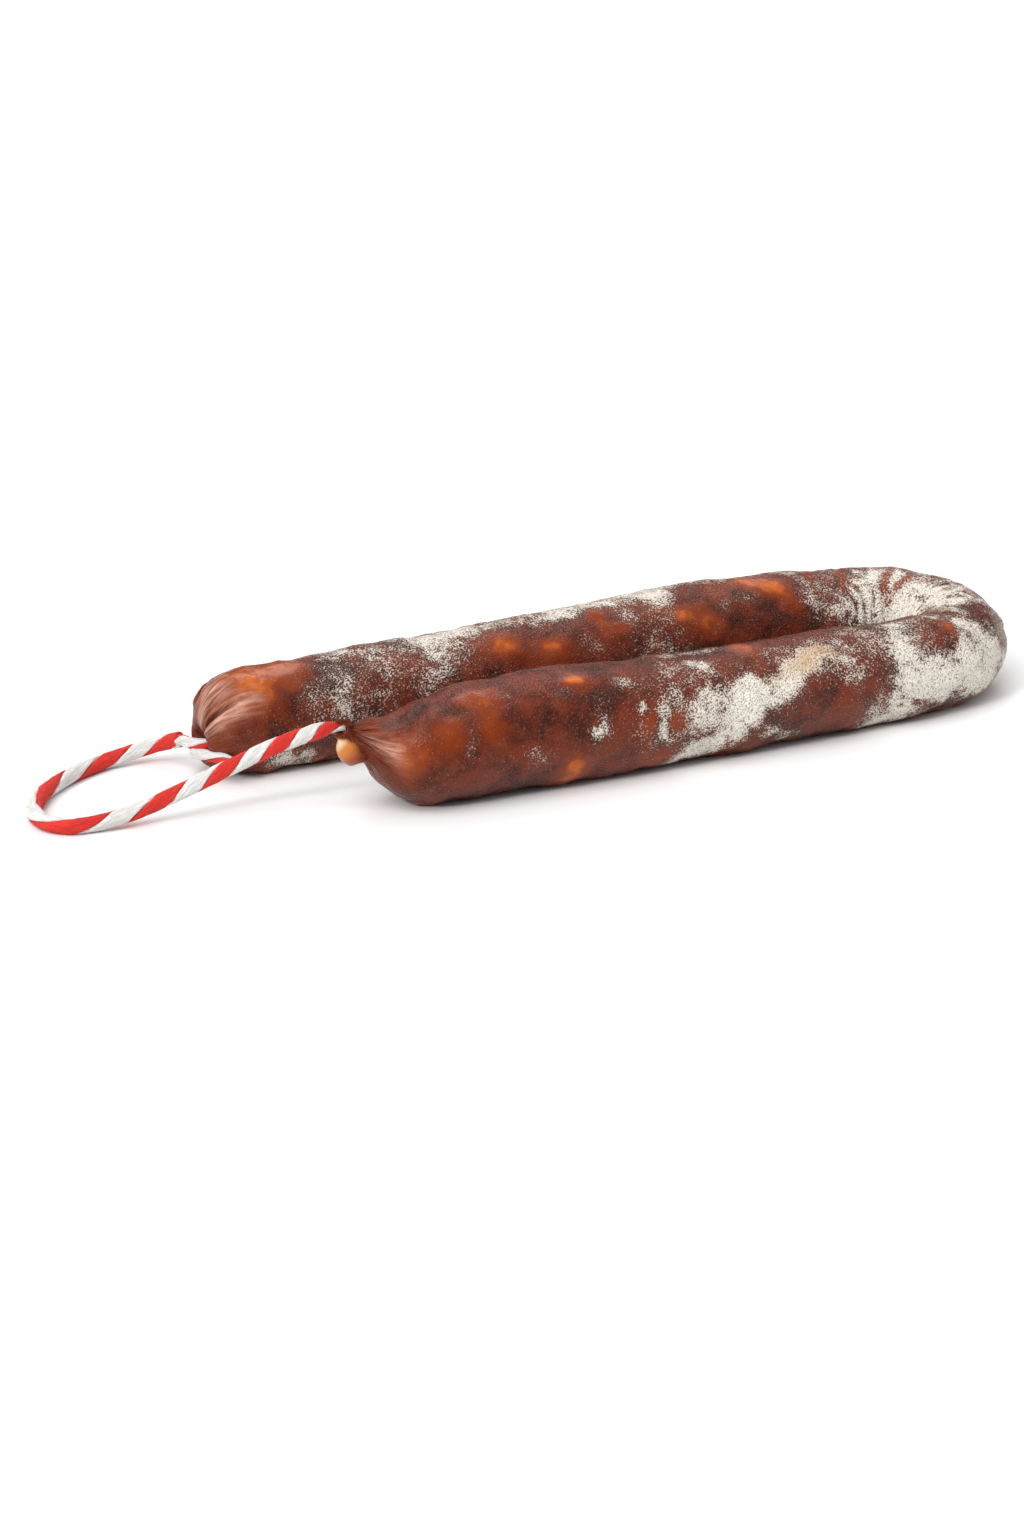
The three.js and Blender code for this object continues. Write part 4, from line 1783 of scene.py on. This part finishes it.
@dataclass
class HangingCord:
    """The red and white cord: its free loop, and the end tied round the far tip."""

    diameter: float = 4.7
    tied_diameter: float = 3.5
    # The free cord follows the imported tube, and runs on a little into the gathered casing.
    into_casing: Place = (-104.6, -24.0, 25.7)
    route: tuple[Place, ...] = (
        (-108.0, -22.5, 25.6),
        (-115.9, -21.1, 24.1),
        (-123.3, -18.9, 21.7),
        (-130.4, -16.3, 18.5),
        (-137.2, -13.5, 15.1),
        (-144.1, -11.0, 11.5),
        (-151.3, -8.8, 8.2),
        (-158.8, -7.2, 5.4),
        (-166.7, -6.4, 3.5),
        (-174.6, -6.0, 2.6),
        (-180.6, -4.7, 2.4),
        (-185.0, -0.8, 2.4),
        (-187.0, 4.8, 2.4),
        (-186.4, 11.4, 2.4),
        (-183.4, 18.2, 2.4),
        (-178.5, 24.8, 2.4),
        (-172.6, 30.6, 2.4),
        (-166.1, 35.6, 2.4),
        (-158.9, 39.6, 2.4),
        (-151.1, 41.8, 2.9),
        (-143.4, 41.2, 4.4),
        (-137.2, 37.6, 6.7),
        (-133.4, 31.6, 9.2),
    )
    # The tied end passes the front of the far neck, goes round it and lies along the tip.
    tied: tuple[Place, ...] = (
        (-134.2, 33.0, 8.7),
        (-133.6, 29.4, 9.6),
        (-133.0, 26.0, 9.9),
        (-131.4, 22.8, 10.2),
        (-128.6, 20.8, 10.2),
        (-126.4, 22.6, 9.4),
        (-127.0, 25.6, 8.4),
        (-129.8, 26.4, 7.7),
        (-131.9, 23.8, 7.5),
        (-131.2, 19.6, 7.8),
        (-129.4, 15.4, 8.2),
        (-127.2, 11.6, 8.1),
        (-124.6, 9.0, 7.2),
    )
    # Distances at which the red ply faces front.
    turns_at: tuple[float, ...] = (5.3, 19.0, 36.6, 56.6, 82.6, 117.7, 147.4, 170.0)
    tied_turns_at: tuple[float, ...] = (-4.0, 18.0, 46.0)
    # Each is drawn thin at one end: how thin, and over what length.
    gripped: Pair = (0.5, 9.0)
    cut: Pair = (0.7, 5.0)

    def build(self, plies: dict[PlyColour, bpy.types.Material]) -> None:
        """Args:
            plies: a material for each ply.
        """
        route = (self.into_casing, *self.route)
        free = TwistedCord(
            "hanging_loop", route, self.diameter, self.turns_at, start_taper=self.gripped
        )
        loop = free.build(plies)
        knot = TwistedCord(
            "tied_end", self.tied, self.tied_diameter, self.tied_turns_at, end_taper=self.cut
        )
        end = knot.build(plies)
        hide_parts("hanging_cord")
        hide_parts("far_turn", "cord_tail")


# ---------------------------------------------------------------- the studio


@dataclass(frozen=True)
class Lamp:
    """A soft distant light.

    Args:
        name: the lamp's name.
        toward: direction from the object to the lamp.
        spread: how wide it looks from the object, in degrees.
        strength: light that it throws on a facing surface, in watts a square metre.
    """

    name: str
    toward: Place
    spread: float
    strength: float

    def build(self) -> None:
        """Hangs the lamp and aims it at the object."""
        data = bpy.data.lights.new(self.name, "SUN")
        data.angle = math.radians(self.spread)
        data.energy = self.strength
        lamp = bpy.data.objects.new(self.name, data)
        lamp.location = self.toward
        lamp.rotation_euler = (-Vector(self.toward)).to_track_quat("-Z", "Y").to_euler()
        bpy.context.scene.collection.objects.link(lamp)


@dataclass(frozen=True)
class Studio:
    """Pale floor, soft lights and the camera.

    Args:
        target: what the camera looks at, in metres.
        azimuth: the camera's turn round the target, in degrees.
        elevation: its height over the target, in degrees.
        distance: from the camera to the target, in metres.
        lens: focal length in millimetres.
        clipping: nearest and furthest that the camera sees, in metres.
        floor_size: side of the floor, in metres.
        low_sky: colour of the surroundings near the horizon.
        high_sky: their colour overhead.
        sky_band: height of the step between the two, 0 at the horizon and 1 straight up.
        lamps: the lamps.
    """

    target: Place = (-0.04602, -0.01387, 0.0)
    azimuth: float = -27.7
    elevation: float = 20.0
    distance: float = 0.900
    lens: float = 70.7
    clipping: Pair = (0.01, 100.0)
    floor_size: float = 90.0
    low_sky: Colour = (0.08, 0.08, 0.08)
    high_sky: Colour = (0.95, 0.95, 0.95)
    sky_band: Band = (0.15, 0.85)
    lamps: tuple[Lamp, ...] = (
        Lamp("key", (-0.60, -0.30, 0.85), 44.0, 1.55),
        Lamp("glint", (-0.75, -0.35, 0.55), 9.0, 0.90),
        Lamp("rim", (0.35, 0.65, 0.75), 30.0, 0.50),
    )

    def build(self) -> None:
        """Places the floor, the surroundings, the lamps and the camera."""
        half = self.floor_size / 2 / MM
        corners = np.array([[-half, -half, 0], [half, -half, 0], [half, half, 0], [-half, half, 0]])
        floor = Mesh.build("studio_floor", corners, [[0, 1, 2, 3]])
        floor.data.materials.append(FloorFinish().build())
        world = bpy.data.worlds.new("studio_surroundings")
        world.use_nodes = True
        n = Nodes(world.node_tree)
        sky = n.add("ShaderNodeSeparateXYZ")
        n.feed(sky, Vector=n.add("ShaderNodeTexCoord").outputs["Generated"])
        overhead = n.between(sky.outputs["Z"], *self.sky_band)
        background = world.node_tree.nodes["Background"]
        n.feed(background, Color=n.mix(overhead, self.low_sky, self.high_sky), Strength=1.0)
        bpy.context.scene.world = world
        bpy.context.scene.view_settings.view_transform = "Standard"
        for lamp in self.lamps:
            lamp.build()
        self.add_camera()

    def add_camera(self) -> None:
        """Places the camera at its angle round the target."""
        turn, lift = math.radians(self.azimuth), math.radians(self.elevation)
        back = Vector(
            (math.sin(turn) * math.cos(lift), -math.cos(turn) * math.cos(lift), math.sin(lift))
        )
        data = bpy.data.cameras.new("camera")
        data.lens = self.lens
        data.clip_start, data.clip_end = self.clipping
        camera = bpy.data.objects.new("camera", data)
        camera.location = Vector(self.target) + back * self.distance
        camera.rotation_euler = (-back).to_track_quat("-Z", "Y").to_euler()
        bpy.context.scene.collection.objects.link(camera)
        bpy.context.scene.camera = camera


def main() -> None:
    """Builds the studio, the cord and the sausage."""
    logging.basicConfig(level=logging.INFO, format="%(name)s: %(message)s")
    Studio().build()
    effects = Effects()
    plies = {ply: PlyFinish(ply).build(effects) for ply in PlyColour}
    HangingCord().build(plies)
    Sausage().build(CasingFinish().build(effects))


if __name__ == "__main__":
    main()
